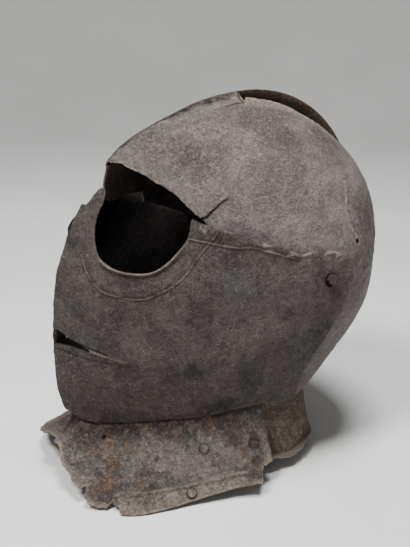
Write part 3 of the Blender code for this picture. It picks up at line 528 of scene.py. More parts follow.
def rear_flange_grid(side, columns, rows):
    table = resample(REAR_FLANGE, columns)
    theta, t, inset = table[:, 0], np.minimum(table[:, 1], 1.0), table[:, 2]
    rim, lip = table[:, 3:6].copy(), table[:, 6]
    at = np.linspace(0, 1, columns)
    neck = head_form(theta, t)
    normal = normals_of(head_form, theta, t)
    neck = neck - normal * inset[:, None]
    rear = smooth((theta - 262.0) / 6.0)
    tuck_theta, tuck_t = theta, t * (1 - 0.05 * rear * (1 - smooth((t - 0.75) / 0.2)))
    tuck_theta = tuck_theta + 3.2 * smooth((t - 0.7) / 0.2)
    tuck = head_form(tuck_theta, tuck_t) - normals_of(head_form, tuck_theta, tuck_t) * inset[:, None]
    tuck = np.where(rear[:, None] > 0.5, tuck, neck + np.array([0.0, 0.0, 0.6]))
    neck[-1, 0] = tuck[-1, 0] = rim[-1, 0] = 0.0
    out = rim - neck
    lateral = np.stack([out[:, 0] * 0.4 + rim[:, 0] * 0.02, out[:, 1] * 0.2 + (rim[:, 1] - 0.0) * 0.012,
                        np.zeros(columns)], -1)
    lateral /= np.maximum(np.linalg.norm(lateral, axis=1, keepdims=True), 1e-6)
    grid = [tuck]
    control = (neck + rim) / 2 - lateral * 3.0
    for v in np.linspace(0, 1, rows):
        grid.append((1 - v) ** 2 * neck + 2 * v * (1 - v) * control + v * v * rim)
    edge = lip + ragged(at * 3.0, 4.0 + side, 1.3) * np.clip(lip / 6.0, 0.0, 1.0)
    grid.append(rim + lateral * edge[:, None] + np.array([0.0, 0.0, 0.8]) * (lip / 9.0)[:, None])
    grid = np.array(grid)
    grid[:, -1, 0] = 0.0
    return grid


def flange(left, right, at_start):
    """One sheet from the grids of both sides, which meet in a shared medial column."""
    right = right.copy()
    right[..., 0] *= -1
    if at_start:
        sheet = np.concatenate([right[:, :0:-1], left], axis=1)
    else:
        sheet = np.concatenate([left[:, :-1], right[:, ::-1]], axis=1)[:, ::-1]
    return sheet


def sheet_faces(rows, columns, hole_cells=()):
    faces = []
    for i in range(rows - 1):
        for j in range(columns - 1):
            a, b, c, d = i * columns + j, i * columns + j + 1, (i + 1) * columns + j + 1, (i + 1) * columns + j
            faces += [(a, d, c), (a, c, b)]
    return np.array(faces)


def sheet_normals(sheet):
    down = np.gradient(sheet, axis=0)
    along = np.gradient(sheet, axis=1)
    n = np.cross(down, along)
    return n / np.maximum(np.linalg.norm(n, axis=2, keepdims=True), 1e-9)


def turned(profile, count, centre, axis):
    """A body of revolution. profile is (radius, height) from pole to pole, heights along axis."""
    axis = np.array(axis, float) / np.linalg.norm(axis)
    e1 = np.cross(axis, [0.0, 0.0, 1.0] if abs(axis[2]) < 0.9 else [0.0, 1.0, 0.0])
    e1 /= np.linalg.norm(e1)
    e2 = np.cross(axis, e1)
    verts, rings = [], []
    for r, h in profile:
        if r < 1e-6:
            rings.append([len(verts)])
            verts.append(np.array(centre) + axis * h)
            continue
        rings.append(list(range(len(verts), len(verts) + count)))
        for i in range(count):
            a = 2 * math.pi * i / count
            verts.append(np.array(centre) + axis * h + r * (math.cos(a) * e1 + math.sin(a) * e2))
    faces = []
    for low, high in zip(rings, rings[1:]):
        for i in range(count):
            j = (i + 1) % count
            if len(low) == 1:
                faces.append((low[0], high[j], high[i]))
            elif len(high) == 1:
                faces.append((low[i], low[j], high[0]))
            else:
                faces += [(low[i], low[j], high[j]), (low[i], high[j], high[i])]
    return np.array(verts), np.array(faces)


# ---------------------------------------------------------------- noise and distance

def hashed(cell, seed):
    h = (cell[:, 0] * 73856093) ^ (cell[:, 1] * 19349663) ^ (cell[:, 2] * 83492791) ^ (seed * 2654435761)
    h = h & 0xFFFFFFFF
    h = ((h ^ (h >> 15)) * 0x2C1B3C6D) & 0xFFFFFFFF
    h = ((h ^ (h >> 12)) * 0x297A2D39) & 0xFFFFFFFF
    h = h ^ (h >> 15)
    return h / 4294967296.0


def noise(p, size, seed):
    """Smooth noise in -1..1 with features of about size mm."""
    q = p / size + 500.0
    cell = np.floor(q).astype(np.int64)
    f = q - cell
    f = f * f * f * (f * (f * 6 - 15) + 10)
    out = np.zeros(len(p))
    for dx in (0, 1):
        for dy in (0, 1):
            for dz in (0, 1):
                w = ((f[:, 0] if dx else 1 - f[:, 0]) * (f[:, 1] if dy else 1 - f[:, 1])
                     * (f[:, 2] if dz else 1 - f[:, 2]))
                out += w * hashed(cell + np.array([dx, dy, dz]), seed)
    return out * 2 - 1


def fractal(p, size, seed, octaves=4, gain=0.55):
    out, weight, total = np.zeros(len(p)), 1.0, 0.0
    for k in range(octaves):
        out += weight * noise(p, size / 2.03**k, seed + 17 * k)
        total += weight
        weight *= gain
    return out / total


def pits(p, size, seed, share, low, high):
    """Depth 0..1 of round pits scattered at most one to a cell of size mm. low and high are radii in mm."""
    q = p / size + 500.0
    base = np.floor(q).astype(np.int64)
    depth = np.zeros(len(p))
    for dx in (-1, 0, 1):
        for dy in (-1, 0, 1):
            for dz in (-1, 0, 1):
                c = base + np.array([dx, dy, dz])
                has = hashed(c, seed) < share
                centre = c + 0.5 + 0.42 * (2 * np.stack([hashed(c, seed + 1), hashed(c, seed + 2),
                                                         hashed(c, seed + 3)], -1) - 1)
                r = (low + (high - low) * hashed(c, seed + 4) ** 2) / size
                d = np.linalg.norm(q - centre, axis=1) / r
                depth = np.maximum(depth, np.where(has, smooth((1.15 - d) / 0.8), 0.0))
    return depth


def distance(points, traced, reach=14.0):
    """Distance in mm from each point to a traced line, or 1e3 where it is out of reach."""
    low, high = traced.min(axis=0) - reach, traced.max(axis=0) + reach
    near = np.flatnonzero(((points > low) & (points < high)).all(axis=1))
    out = np.full(len(points), 1e3)
    for start in range(0, len(near), 4000):
        block = near[start:start + 4000]
        d = np.zeros((len(block), len(traced)))
        for axis in range(3):
            d += (points[block, axis][:, None] - traced[:, axis][None]) ** 2
        out[block] = np.sqrt(d.min(axis=1))
    return out


def trace(pairs, form=head_form, curved=True):
    """Dense points in mm along a line on the form."""
    theta, t = from_plan(line(pairs, 0.4, curved))
    return form(theta, t)


def beside(pairs, offsets, step, curved=True):
    """Plan points in rows beside a line, so that the mesh follows it."""
    plan = line(pairs, step, curved)
    along = np.gradient(plan, axis=0)
    along /= np.maximum(np.linalg.norm(along, axis=1, keepdims=True), 1e-9)
    across = np.stack([-along[:, 1], along[:, 0]], -1)
    return np.concatenate([plan + across * d for d in offsets])


def worn(plan, size, seed, quick_mm=2.2, slow_mm=8.0):
    """A line of plan points with a slightly eaten edge. Its ends stay put."""
    along = np.gradient(plan, axis=0)
    along /= np.maximum(np.linalg.norm(along, axis=1, keepdims=True), 1e-9)
    across = np.stack([-along[:, 1], along[:, 0]], -1)
    flat = np.concatenate([plan, np.zeros((len(plan), 1))], axis=1)
    amount = size * (0.55 * noise(flat, slow_mm, seed) + 0.45 * noise(flat, quick_mm, seed + 5))
    i = np.arange(len(plan))
    ends = smooth(np.minimum(i, len(plan) - 1 - i) / 5.0)
    return plan + across * (amount * ends)[:, None]


def slit(pairs, width, seed, step=0.6, curved=True, open_start=False):
    """Closed loop of plan points round a crack that is width mm wide in the middle."""
    plan = line(pairs, step, curved)
    along = np.gradient(plan, axis=0)
    along /= np.maximum(np.linalg.norm(along, axis=1, keepdims=True), 1e-9)
    across = np.stack([-along[:, 1], along[:, 0]], -1)
    flat = np.concatenate([plan, np.zeros((len(plan), 1))], axis=1)
    s = np.linspace(0, 1, len(plan))
    taper = np.minimum(1.0, (1 - s) * 2.2) if open_start else np.minimum(1.0, 4 * np.minimum(s, 1 - s))
    half = width / 2 * taper * (1 + 0.45 * noise(flat, 2.5, seed))
    plan = plan + across * (0.5 * noise(flat, 3.4, seed + 3) * np.minimum(1, s * 8))[:, None]
    one = plan + across * half[:, None]
    two = plan - across * half[:, None]
    if open_start:
        return np.concatenate([one, two[-2::-1]])
    return np.concatenate([one, two[-2:0:-1]])


# ---------------------------------------------------------------- charted features, theta_deg and t

EYE_ARC = [
    (173.1, .930), (178.1, .880), (182.0, .810), (183.2, .740), (183.9, .656), (182.4, .590),
    (176.4, .501), (161.5, .449), (151.5, .414),
]
SECOND_LINE = [
    (160.1, .525), (159.1, .449), (156.7, .338), (153.5, .281), (152.0, .227), (145.8, .122),
]
SECOND_LINE_END = [(81.2, .045), (38.6, .060)]
LIP_UPPER = [(192.0, .999), (195.1, .929), (199.8, .781)]
LIP_RIDGE = [(198.1, .860), (200.4, .773), (203.4, .675)]
LIP_LOWER = [(196.2, 1.0), (199.7, .879), (203.0, .725)]
NOSE_CREASE = [(173.9, .998), (172.7, .990), (171.4, .980)]
BROW_CRACK = [(152.4, .497), (150.2, .470), (147.0, .450), (143.0, .437), (139.1, .428)]
BROW_SLIVER = [(147.6, .772), (148.2, .700), (148.9, .625)]
REAR_CRACK = [
    (70.0, .445), (69.3, .380), (69.0, .324), (68.7, .296), (65.9, .285), (59.6, .250), (57.2, .242),
    (50.0, .240), (44.6, .236),
]
NOTCH_CRACK = [(103.6, .999), (104.2, .975), (103.4, .945)]
NOTCH_SLIT = [(104.0, .948), (107.5, .940), (111.5, .925)]
BLUE_PATCH = [(147.9, .365), (147.7, .249)]


# ---------------------------------------------------------------- the plates

def dents(p):
    """Slow unevenness that every plate shares, mm."""
    return 0.34 * noise(p, 46.0, 3) + 0.22 * noise(p, 21.0, 11) + 0.10 * noise(p, 10.5, 19)


def crust(p, seed):
    """Fine relief of the corroded surface, mm, and the depth 0..1 of its pits."""
    area = smooth(0.5 + 0.9 * noise(p, 30.0, seed + 50))
    deep = pits(p, 8.5, seed, 0.42, 0.9, 2.4)
    small = pits(p, 4.2, seed + 9, 0.30 + 0.35 * area, 0.6, 1.3)
    fine = 0.17 * noise(p, 5.5, seed + 20) + 0.13 * noise(p, 3.2, seed + 21)
    blister = smooth((fractal(p, 8.0, seed + 30, 4, 0.65) - 0.08) / 0.10) * area
    fold = smooth((0.16 - np.abs(noise(p, 9.0, seed + 33))) / 0.14) * area
    return fine - 0.30 * deep - 0.22 * small + 0.30 * blister - 0.24 * fold, np.maximum(deep, 0.8 * small)


def fine_triangulate(loops, step, extra=None):
    """Plan points and triangles filling the first loop less the others, following the extra points."""
    outer = loops[0]
    edge_points = np.concatenate(loops)
    fixed = list(edge_points)
    if extra is not None and len(extra):
        keep = inside(extra, outer)
        for hole in loops[1:]:
            keep &= ~inside(extra, hole)
        tree = kdtree.KDTree(len(edge_points))
        for i, p in enumerate(edge_points):
            tree.insert((p[0], p[1], 0.0), i)
        tree.balance()
        taken = {}
        for p in extra[keep]:
            if tree.find((p[0], p[1], 0.0))[2] < 0.27 * step:
                continue
            cell = (int(math.floor(p[0] / (0.5 * step))), int(math.floor(p[1] / (0.5 * step))))
            close = False
            for dx in (-1, 0, 1):
                for dy in (-1, 0, 1):
                    q = taken.get((cell[0] + dx, cell[1] + dy))
                    if q is not None and math.hypot(q[0] - p[0], q[1] - p[1]) < 0.27 * step:
                        close = True
            if not close:
                taken[cell] = p
                fixed.append(p)
    fixed = np.array(fixed)
    low, high = outer.min(axis=0), outer.max(axis=0)
    rows = np.arange(low[1], high[1], step * 0.866)
    across = np.arange(low[0], high[0], step)
    grid = np.concatenate([np.stack([across + (step / 2 if i % 2 else 0.0), np.full(len(across), y)], -1)
                           for i, y in enumerate(rows)])
    keep = inside(grid, outer)
    for hole in loops[1:]:
        keep &= ~inside(grid, hole)
    grid = grid[keep]
    tree = kdtree.KDTree(len(fixed))
    for i, p in enumerate(fixed):
        tree.insert((p[0], p[1], 0.0), i)
    tree.balance()
    clear = np.array([tree.find((p[0], p[1], 0.0))[2] for p in grid])
    grid = grid[clear > step * 0.6]
    points = np.concatenate([fixed, grid])
    edges, first = [], 0
    for loop in loops:
        edges += [(first + i, first + (i + 1) % len(loop)) for i in range(len(loop))]
        first += len(loop)
    verts, _, faces, _, _, _ = delaunay_2d_cdt([Vector(p) for p in points], edges, [], 0, 1e-7)
    verts = np.array([tuple(v) for v in verts])
    faces = np.array([f for f in faces if len(f) == 3])
    centres = verts[faces].mean(axis=1)
    keep = inside(centres, outer)
    for hole in loops[1:]:
        keep &= ~inside(centres, hole)
    faces = faces[keep]
    a, b, c = (verts[faces[:, i]] for i in range(3))
    turned_over = (b[:, 0] - a[:, 0]) * (c[:, 1] - a[:, 1]) - (b[:, 1] - a[:, 1]) * (c[:, 0] - a[:, 0])
    faces = faces[np.abs(turned_over) > 1e-6]
    turned_over = turned_over[np.abs(turned_over) > 1e-6]
    faces[turned_over < 0] = faces[turned_over < 0][:, ::-1]
    return verts, faces


def made(name, verts, faces, mat, origin, body, stands_for, masks):
    """A finished piece: smooth shaded mesh in place, with its masks, riding its body."""
    obj = add(name, verts, faces, mat, origin)
    mesh = obj.data
    for key, values in masks.items():
        layer = mesh.attributes.new(key, "FLOAT", "POINT")
        layer.data.foreach_set("value", np.clip(values, 0.0, 1.0).astype(np.float32))
    mesh.shade_smooth()
    mesh.set_sharp_from_angle(angle=math.radians(38))
    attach(obj, body)
    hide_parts(stands_for)
    return obj


def shell_masks(outer, inner, faces, masks):
    """shell() with the masks of the outer sheet carried over to the vertices that it keeps."""
    verts, new_faces = shell(outer, inner, faces)
    count = len(outer)
    used = np.unique(np.concatenate([faces.ravel(), faces.ravel() + count]))
    carried = {}
    for key, (one, two) in masks.items():
        both = np.concatenate([one, two])
        carried[key] = both[used]
    assert len(used) == len(verts)
    return verts, new_faces, carried


def fine_face_outline(step, side, seed):
    if side > 0:
        rim = EYE_RIM
        mouth = join(worn(line(SLIT_LOWER, step / 2), 0.25, seed), worn(line(SLIT_UPPER, step / 2), 0.25, seed + 1))
    else:
        rim, mouth = EYE_RIM_RIGHT, medial(195.1, 191.9, step)
    return join(
        medial(211.0, 195.1, step), mouth, medial(191.9, TONGUE_TOP[0], step), worn(line([TONGUE_TOP] + rim, step / 2), 0.30, seed + 2, 1.6, 6.0),
        worn(line(SEAM, step / 2), 0.55, seed + 3), worn(line(FACE_BOTTOM, step / 1.6), 0.5, seed + 4),
    )


def build_fine_face(mat):
    step = FACE_STEP
    hole = ring(0.0, 0.0001, PIVOT_HOLE_R, 40)
    outer, inner, faces, middle = [], [], [], {}
    masks = {key: ([], []) for key in ("wear_and_highlight", "groove_and_shade", "pit", "blue", "rust", "dark")}
    first = 0
    rows = (0.0, -0.55, 0.55, -1.15, 1.15, -1.9, 1.9)
    for side, form, rim in ((1, head_form, EYE_RIM), (-1, far_face_form, EYE_RIM_RIGHT)):
        rim_line = [TONGUE_TOP] + rim
        extra = [beside(pairs, rows, 0.95) for pairs in (EYE_ARC, SECOND_LINE, LIP_UPPER, LIP_RIDGE, LIP_LOWER)]
        extra.append(beside(rim_line, (-0.6, 0.6, -1.2, 1.2, -1.9, 1.9, -2.7, 2.7, -3.5, 3.5), 0.9))
        extra.append(beside(SEAM, (-0.6, 0.6, -1.3, 1.3, 2.1, -2.1), 1.1))
        extra = np.concatenate(extra)
        holes = [hole] if side > 0 else [hole, right_slit(step / 2)]
        plan, sheet = fine_triangulate([fine_face_outline(step, side, 40 + (side < 0) * 9)] + holes, step, extra)
        theta, t = from_plan(plan)
        on_medial = t > 0.99999
        base, normal = form(theta, t), normals_of(form, theta, t)
        where = base * np.array([side, 1.0, 1.0])
        off_medial = smooth((1 - t) * radius(theta) / 2.5)

        d_rim = distance(base, trace(rim_line, form))
        d_seam = distance(base, trace(SEAM, form))
        d_low = distance(base, trace(FACE_BOTTOM, form))
        d_arc = distance(base, trace(EYE_ARC, form))
        d_second = distance(base, trace(SECOND_LINE, form))
        d_hole = np.abs(np.hypot(base[:, 1] - PIVOT_Y, base[:, 2] - PIVOT_Z))
        d_lips = [distance(base, trace(pairs, form)) for pairs in (LIP_UPPER, LIP_RIDGE, LIP_LOWER)]
        d_crease = distance(base, trace(NOSE_CREASE, form))

        # the lower rim of the eye opening is turned over into a raised lip
        lower = smooth((theta - 161.0) / 6.0) * smooth((t - 0.50) / 0.04) * smooth((0.88 - t) / 0.07)
        lip = np.sqrt(np.clip(1 - ((d_rim - 0.9) / 1.0) ** 2, 0.0, 1.0)) * (0.05 + 0.55 * lower)
        under = np.exp(-((d_rim - 2.9) / 0.9) ** 2) * (0.10 + 0.34 * lower)
        second_weight = 1.0
        grooves = (0.30 * np.exp(-((d_arc - 1.25) / 0.6) ** 2) + 0.30 * second_weight * np.exp(-((d_second - 1.2) / 0.6) ** 2)
                   + 0.50 * np.exp(-(d_lips[0] / 0.65) ** 2) + 0.30 * np.exp(-(d_lips[2] / 0.55) ** 2)
                   + 0.22 * np.exp(-(d_crease / 0.8) ** 2))
        ridges = (0.65 * np.exp(-(d_lips[1] / 1.2) ** 2) + 0.28 * np.exp(-(d_arc / 0.6) ** 2)
                  + 0.34 * np.exp(-(d_second / 0.6) ** 2))
        # wrinkles of the strip between the two lines, towards the hinge
        rear = smooth((0.34 - t) / 0.16) * smooth((160.0 - theta) / 10.0)
        ridges = ridges + 0.45 * rear * smooth((9.0 - d_seam) / 5.0) * np.abs(noise(where * np.array([1.0, 0.45, 1.3]), 4.5, 91))
        # the strip between the seam and the line under it stands a little proud
        strip = smooth((5.5 - d_seam) / 2.0) * 0.22
        relief, pit = crust(where, 101)
        calm = smooth(d_rim / 3.0) * 0.6 + 0.4
        boss = smooth((d_hole - 6.2) / 3.0)
        slow = dents(where) * smooth(d_hole / 18.0)
        out = FACE_OUT + slow + relief * calm * boss + lip - under - grooves + ridges + strip
        # edges are thinned and rounded
        d_edge = np.minimum(np.minimum(d_seam, d_low), d_rim + 0.4)
        rounding = 0.45 * smooth((1.1 - d_edge) / 1.1)
        out = out - rounding
        low = FACE_IN + slow * 0.9 + 0.12 * noise(where, 6.0, 77) * boss * smooth(d_edge / 6.0)
        for key, amount in ((outer, out), (inner, low)):
            points = base + normal * amount[:, None]
            n = normal[on_medial].copy()
            n[:, 0] = 0.0
            flat = np.linalg.norm(n, axis=1)
            points[on_medial] = base[on_medial] + n / np.maximum(flat, 0.3)[:, None] ** 2 * amount[on_medial, None]
            points[on_medial, 0] = 0.0
            key.append(points * np.array([side, 1.0, 1.0]))
        sheet = orient(np.abs(outer[-1][:, :1]) * [1, 0, 0] + outer[-1] * [0, 1, 1], sheet)
        index = np.arange(len(plan)) + first
        for i in np.flatnonzero(on_medial):
            key = (round(plan[i, 0], 3), round(plan[i, 1], 3))
            index[i] = middle.setdefault(key, index[i])
        faces.append(index[sheet if side > 0 else sheet[:, ::-1]])
        first += len(plan)

        # painted highlight, with some wear: upper keeps the lightened seam edge to its upper run
        upper = 0.15 + 0.85 * smooth((np.sin(np.radians(theta)) + 0.05) / 0.15)
        wear_and_highlight = np.maximum(0.95 * smooth((1.7 - d_rim) / 1.1) * (0.15 + 0.85 * lower),
                          0.9 * upper * smooth((1.9 - d_seam) / 1.2) * smooth(0.40 + 1.3 * noise(where, 13.0, 66)))
        # pale lines on the ridges of the engraved arc and second line and on the wrinkles near the hinge: partly worn
        # metal, partly painted highlight
        line_wear_and_highlight = np.maximum(0.42 * np.exp(-(d_arc / 0.6) ** 2), 0.62 * np.exp(-(d_second / 0.65) ** 2))
        line_wear_and_highlight = np.maximum(line_wear_and_highlight, 0.6 * rear * smooth((9.0 - d_seam) / 5.0)
                               * smooth((np.abs(noise(where * np.array([1.0, 0.45, 1.3]), 4.5, 91)) - 0.35) / 0.3))
        wear_and_highlight = np.maximum(wear_and_highlight, 0.5 * smooth((1.8 - d_low) / 1.6))
        wear_and_highlight = wear_and_highlight * (0.55 + 0.45 * smooth(0.5 + 0.8 * noise(where, 4.0, 61)))
        beside_groove = 0.45 * np.exp(-((d_lips[0] - 1.2) / 0.6) ** 2) + 0.8 * np.exp(-(d_lips[1] / 0.9) ** 2)
        wear_and_highlight = np.maximum(wear_and_highlight, 0.6 * beside_groove * smooth(0.5 + 0.9 * noise(where, 7.0, 62)))
        wear_and_highlight = np.maximum(wear_and_highlight, line_wear_and_highlight * smooth(0.70 + 0.8 * noise(where, 9.0, 63)))
        # painted highlights on the wrinkles of the strip along the seam
        folds = np.abs(noise(where * np.array([1.0, 0.35, 1.25]), 3.6, 97))
        wear_and_highlight = np.maximum(wear_and_highlight, upper * smooth((7.0 - d_seam) / 2.0) * smooth((0.17 - folds) / 0.08)
                          * smooth(0.3 + 1.3 * noise(where, 11.0, 98)) * smooth((0.60 - t) / 0.1))
        # grooves of the engraved lines and the mouth; the last term is a painted shadow line under the raised lip of
        # the lower eye rim
        groove_and_shade = (0.40 * np.exp(-((d_arc - 1.25) / 0.5) ** 2) + 0.50 * np.exp(-((d_second - 1.3) / 0.5) ** 2)
                  + np.exp(-(d_lips[0] / 0.55) ** 2) + 0.7 * np.exp(-(d_lips[2] / 0.5) ** 2)
                  + 0.7 * lower * np.exp(-((d_rim - 3.3) / 0.7) ** 2))
        dark, blue = np.zeros(len(where)), np.zeros(len(where))
        for at_theta, at_t, size, strength, kind in FACE_STAINS:
            centre = head_form(at_theta, at_t)
            d = np.linalg.norm(base - centre, axis=1) / size
            spot = strength * smooth((1.0 - d + 0.75 * fractal(where, 9.0, 71, 5, 0.72)) / 0.35)
            if kind == "dark":
                dark = np.maximum(dark, spot)
            else:
                blue = np.maximum(blue, spot)
        if side < 0:
            # painted shade: the right nasal rim, seen almost edge-on beyond the nose ridge, is painted near-black in
            # the dark and groove masks and kept clear of wear
            far_rim_shade = smooth((theta - 152.0) / 2.0) * smooth((179.0 - theta) / 3.0) * smooth((t - 0.60) / 0.05) * smooth((0.998 - t) / 0.006)
            dark = np.maximum(dark, far_rim_shade)
            groove_and_shade = np.maximum(groove_and_shade, 0.85 * far_rim_shade)
            wear_and_highlight = wear_and_highlight * (1 - far_rim_shade)
        rust = smooth((fractal(where, 16.0, 81, 4) - 0.38) / 0.3) * 0.25
        rust = np.maximum(rust, 0.45 * smooth((14.0 - np.linalg.norm(base - head_form(38.0, 0.085), axis=1)) / 9.0)
                          * smooth(0.5 + fractal(where, 6.0, 83, 3)))
        cloud = smooth((fractal(where, 30.0, 95, 6, 0.66) - 0.06) / 0.12) * 0.45
        dark = np.maximum(dark, cloud * smooth(0.65 + 1.2 * noise(where, 16.0, 96)))
        values = {"wear_and_highlight": wear_and_highlight, "groove_and_shade": groove_and_shade, "pit": pit * boss, "blue": blue, "rust": rust, "dark": dark}
        for key, value in values.items():
            masks[key][0].append(value)
            under = np.zeros(len(value)) + (0.6 if key == "dark" else 0.0)
            # the inner sheet of the right nasal rim gets the same painted shade
            if side < 0 and key in ("dark", "groove_and_shade"):
                under = np.maximum(under, far_rim_shade)
            masks[key][1].append(under)
    masks = {key: (np.concatenate(one), np.concatenate(two)) for key, (one, two) in masks.items()}
    verts, faces, masks = shell_masks(np.concatenate(outer), np.concatenate(inner), np.concatenate(faces), masks)
    return made("face_plate_iron", verts, faces, mat, (0.0, PIVOT_Y, PIVOT_Z), "face", "face_plate",
                masks)


def fine_skull_outline(step, broken, seed):
    ridge = BROW if broken else BROW_RIGHT
    hidden = np.array(SKULL_HIDDEN)
    hidden = list(zip(hidden[:, 0], solve_t(hidden[:, 0], hidden[:, 1])))
    brow = worn(line(ridge, step / 2), 0.6, seed, 1.8, 7.0)
    if broken:
        edge = [(theta, 1 - d / float(radius(theta))) for theta, d in COMB_BREAK]
        jagged = worn(line(edge, step / 2.4, curved=False), 0.45, seed + 1, 2.0, 7.0)
        top = join(medial(148.6, 103.4, step), jagged, medial(30.0, 0.0, step), medial(0.0, -77.4, step))
    else:
        top = join(medial(149.2, 0.0, step), medial(0.0, -77.4, step))
    low = worn(line(NAPE_BOTTOM + hidden[:1], step / 1.5), 0.4, seed + 2)
    front = line(hidden, step / 1.5)
    close = line([hidden[-1], ridge[-1]], step / 1.5, curved=False)
    return join(top, low, front, close, brow[::-1])


def build_fine_skull(name, stands_for, side, mat):
    step = SKULL_STEP
    broken = side > 0
    form = skull_form if side > 0 else right_skull_form
    loops = [fine_skull_outline(step, broken, 140 + side), ring(0.0, 0.0001, PIVOT_HOLE_R, 32)]
    rows = (0.0, -0.7, 0.7, -1.5, 1.5)
    ridge = BROW if broken else BROW_RIGHT
    extra = [beside(ridge, (-0.7, 0.7, -1.5, 1.5, 2.4, -2.4), 1.0)]
    cracks = [(REAR_CRACK, 0.30, False)] if broken else []
    if broken:
        loops.append(ring(*REAR_HOLE, 24))
        loops.append(slit(BROW_CRACK, 0.75, 151, open_start=True))
        loops.append(slit(BROW_SLIVER, 0.5, 152))
        extra += [beside(pairs, rows, 1.0) for pairs in (BROW_CRACK, BROW_SLIVER, REAR_CRACK)]
    plan, faces = fine_triangulate(loops, step, np.concatenate(extra))
    theta, t = from_plan(plan)
    height = np.maximum(periodic(COMB, theta)[0], 0)
    on_medial = (t > 0.99999) & (height < 0.01)
    base, normal = form(theta, t), normals_of(form, theta, t)
    where = base * np.array([side, 1.0, 1.0])
    d_brow = distance(base, trace(ridge, form))
    d_nape = distance(base, trace(NAPE_BOTTOM, skull_form))
    d_seam = distance(base, trace(SEAM, head_form))
    d_hinge = np.hypot(base[:, 1] - PIVOT_Y, base[:, 2] - PIVOT_Z)
    hidden = smooth((10.0 - d_hinge) / 4.0)
    relief, pit = crust(where, 301)
    gap_to_medial = (1 - t) * radius(theta)
    slow = dents(where) * smooth(d_hinge / 18.0)
    crest = smooth((12.5 - gap_to_medial) / 2.5) * smooth((gap_to_medial - 5.0) / 2.0) * smooth((height - 1.0) / 2.0)
    flank = smooth((5.5 - gap_to_medial) / 2.5) * smooth((height - 1.5) / 2.0)
    # hammered unevenness of the top
    top = smooth((np.sin(np.radians(theta)) - 0.1) / 0.5)
    planish = 0.16 * noise(where, 7.5, 331) * top
    covered = inside(plan, fine_face_outline(4.0, 1, 40))
    amount = slow + (relief + planish) * np.where(covered, 0.25, 1.0)
    crack_mask = np.zeros(len(plan))
    if broken:
        lifted = 0.0
        d = distance(base, trace(REAR_CRACK, skull_form))
        amount = amount + 0.75 * np.exp(-(d / 0.8) ** 2) * smooth(0.8 + 0.9 * noise(where, 6.0, 366)) - 0.4 * np.exp(-((d - 2.0) / 0.8) ** 2)
        for pairs, width, lift in ((BROW_CRACK, 1.1, 0.55), (BROW_SLIVER, 0.8, 0.2), (NOTCH_CRACK, 0.9, 0.2), (NOTCH_SLIT, 0.9, 0.2)):
            d = distance(base, trace(pairs, skull_form))
            crack_mask = np.maximum(crack_mask, np.exp(-(d / width) ** 2))
            # the metal on the upper side of a crack stands a little higher
            lifted = lifted + lift * np.exp(-(d / 3.2) ** 2) * np.exp(-(d / 6.0))
            amount = amount - 0.25 * np.exp(-(d / 0.8) ** 2)
        amount = amount + lifted
    edge_round = 0.5 * smooth((1.3 - d_brow) / 1.3) + 0.4 * smooth((1.0 - d_nape) / 1.0)
    # the brow edge is a little thickened
    band = 0.22 * np.exp(-((d_brow - 2.2) / 1.2) ** 2)
    amount = amount - edge_round + band
    medial_roll = 0.0
    outer = base + normal * (SKULL_OUT + amount)[:, None]
    low = SKULL_IN + slow * 0.9 + 0.15 * noise(where, 6.5, 377)
    inner = base + normal * low[:, None]
    for sheet, value in ((outer, SKULL_OUT + amount), (inner, low)):
        n = normal[on_medial].copy()
        n[:, 0] = 0.0
        flat = np.linalg.norm(n, axis=1)
        sheet[on_medial] = base[on_medial] + n / np.maximum(flat, 0.3)[:, None] ** 2 * value[on_medial, None]
    faces = orient(outer, faces)
    for sheet in (outer, inner):
        sheet[:, 0] = np.maximum(sheet[:, 0], SEAM_GAP)
        sheet[:, 0] *= side
    if side < 0:
        faces = faces[:, ::-1]
    # painted highlight: the band along the foot of the comb is lightened in the wear mask; the brow edge term is worn
    # metal
    wear_and_highlight = 0.6 * smooth((2.0 - d_brow) / 1.8) + 0.75 * crest * smooth(0.55 + 1.1 * fractal(where, 14.0, 364, 4, 0.7))
    if broken:
        edge = [(th, 1 - d / float(radius(th))) for th, d in COMB_BREAK]
        d_break = distance(base, trace(edge, skull_form, curved=False))
        wear_and_highlight = np.maximum(wear_and_highlight, smooth((5.4 - d_break) / 2.6))
        wear_and_highlight = np.maximum(wear_and_highlight, 0.5 * smooth((9.0 - d_break + 4.0 * noise(where, 8.0, 367)) / 5.0))
        d = distance(base, trace(REAR_CRACK, skull_form))
        wear_and_highlight = np.maximum(wear_and_highlight, np.exp(-(d / 1.05) ** 2) * smooth(0.9 + 0.8 * noise(where, 6.0, 366)))
        hole_at = skull_form(REAR_HOLE[0], REAR_HOLE[1])
        wear_and_highlight = np.maximum(wear_and_highlight, np.exp(-((np.linalg.norm(base - hole_at, axis=1) - 2.2) / 0.9) ** 2))
        flank = flank * smooth((d_break - 4.0) / 2.0)
    wear_and_highlight = wear_and_highlight * (0.6 + 0.4 * smooth(0.5 + 0.8 * noise(where, 4.0, 361)))
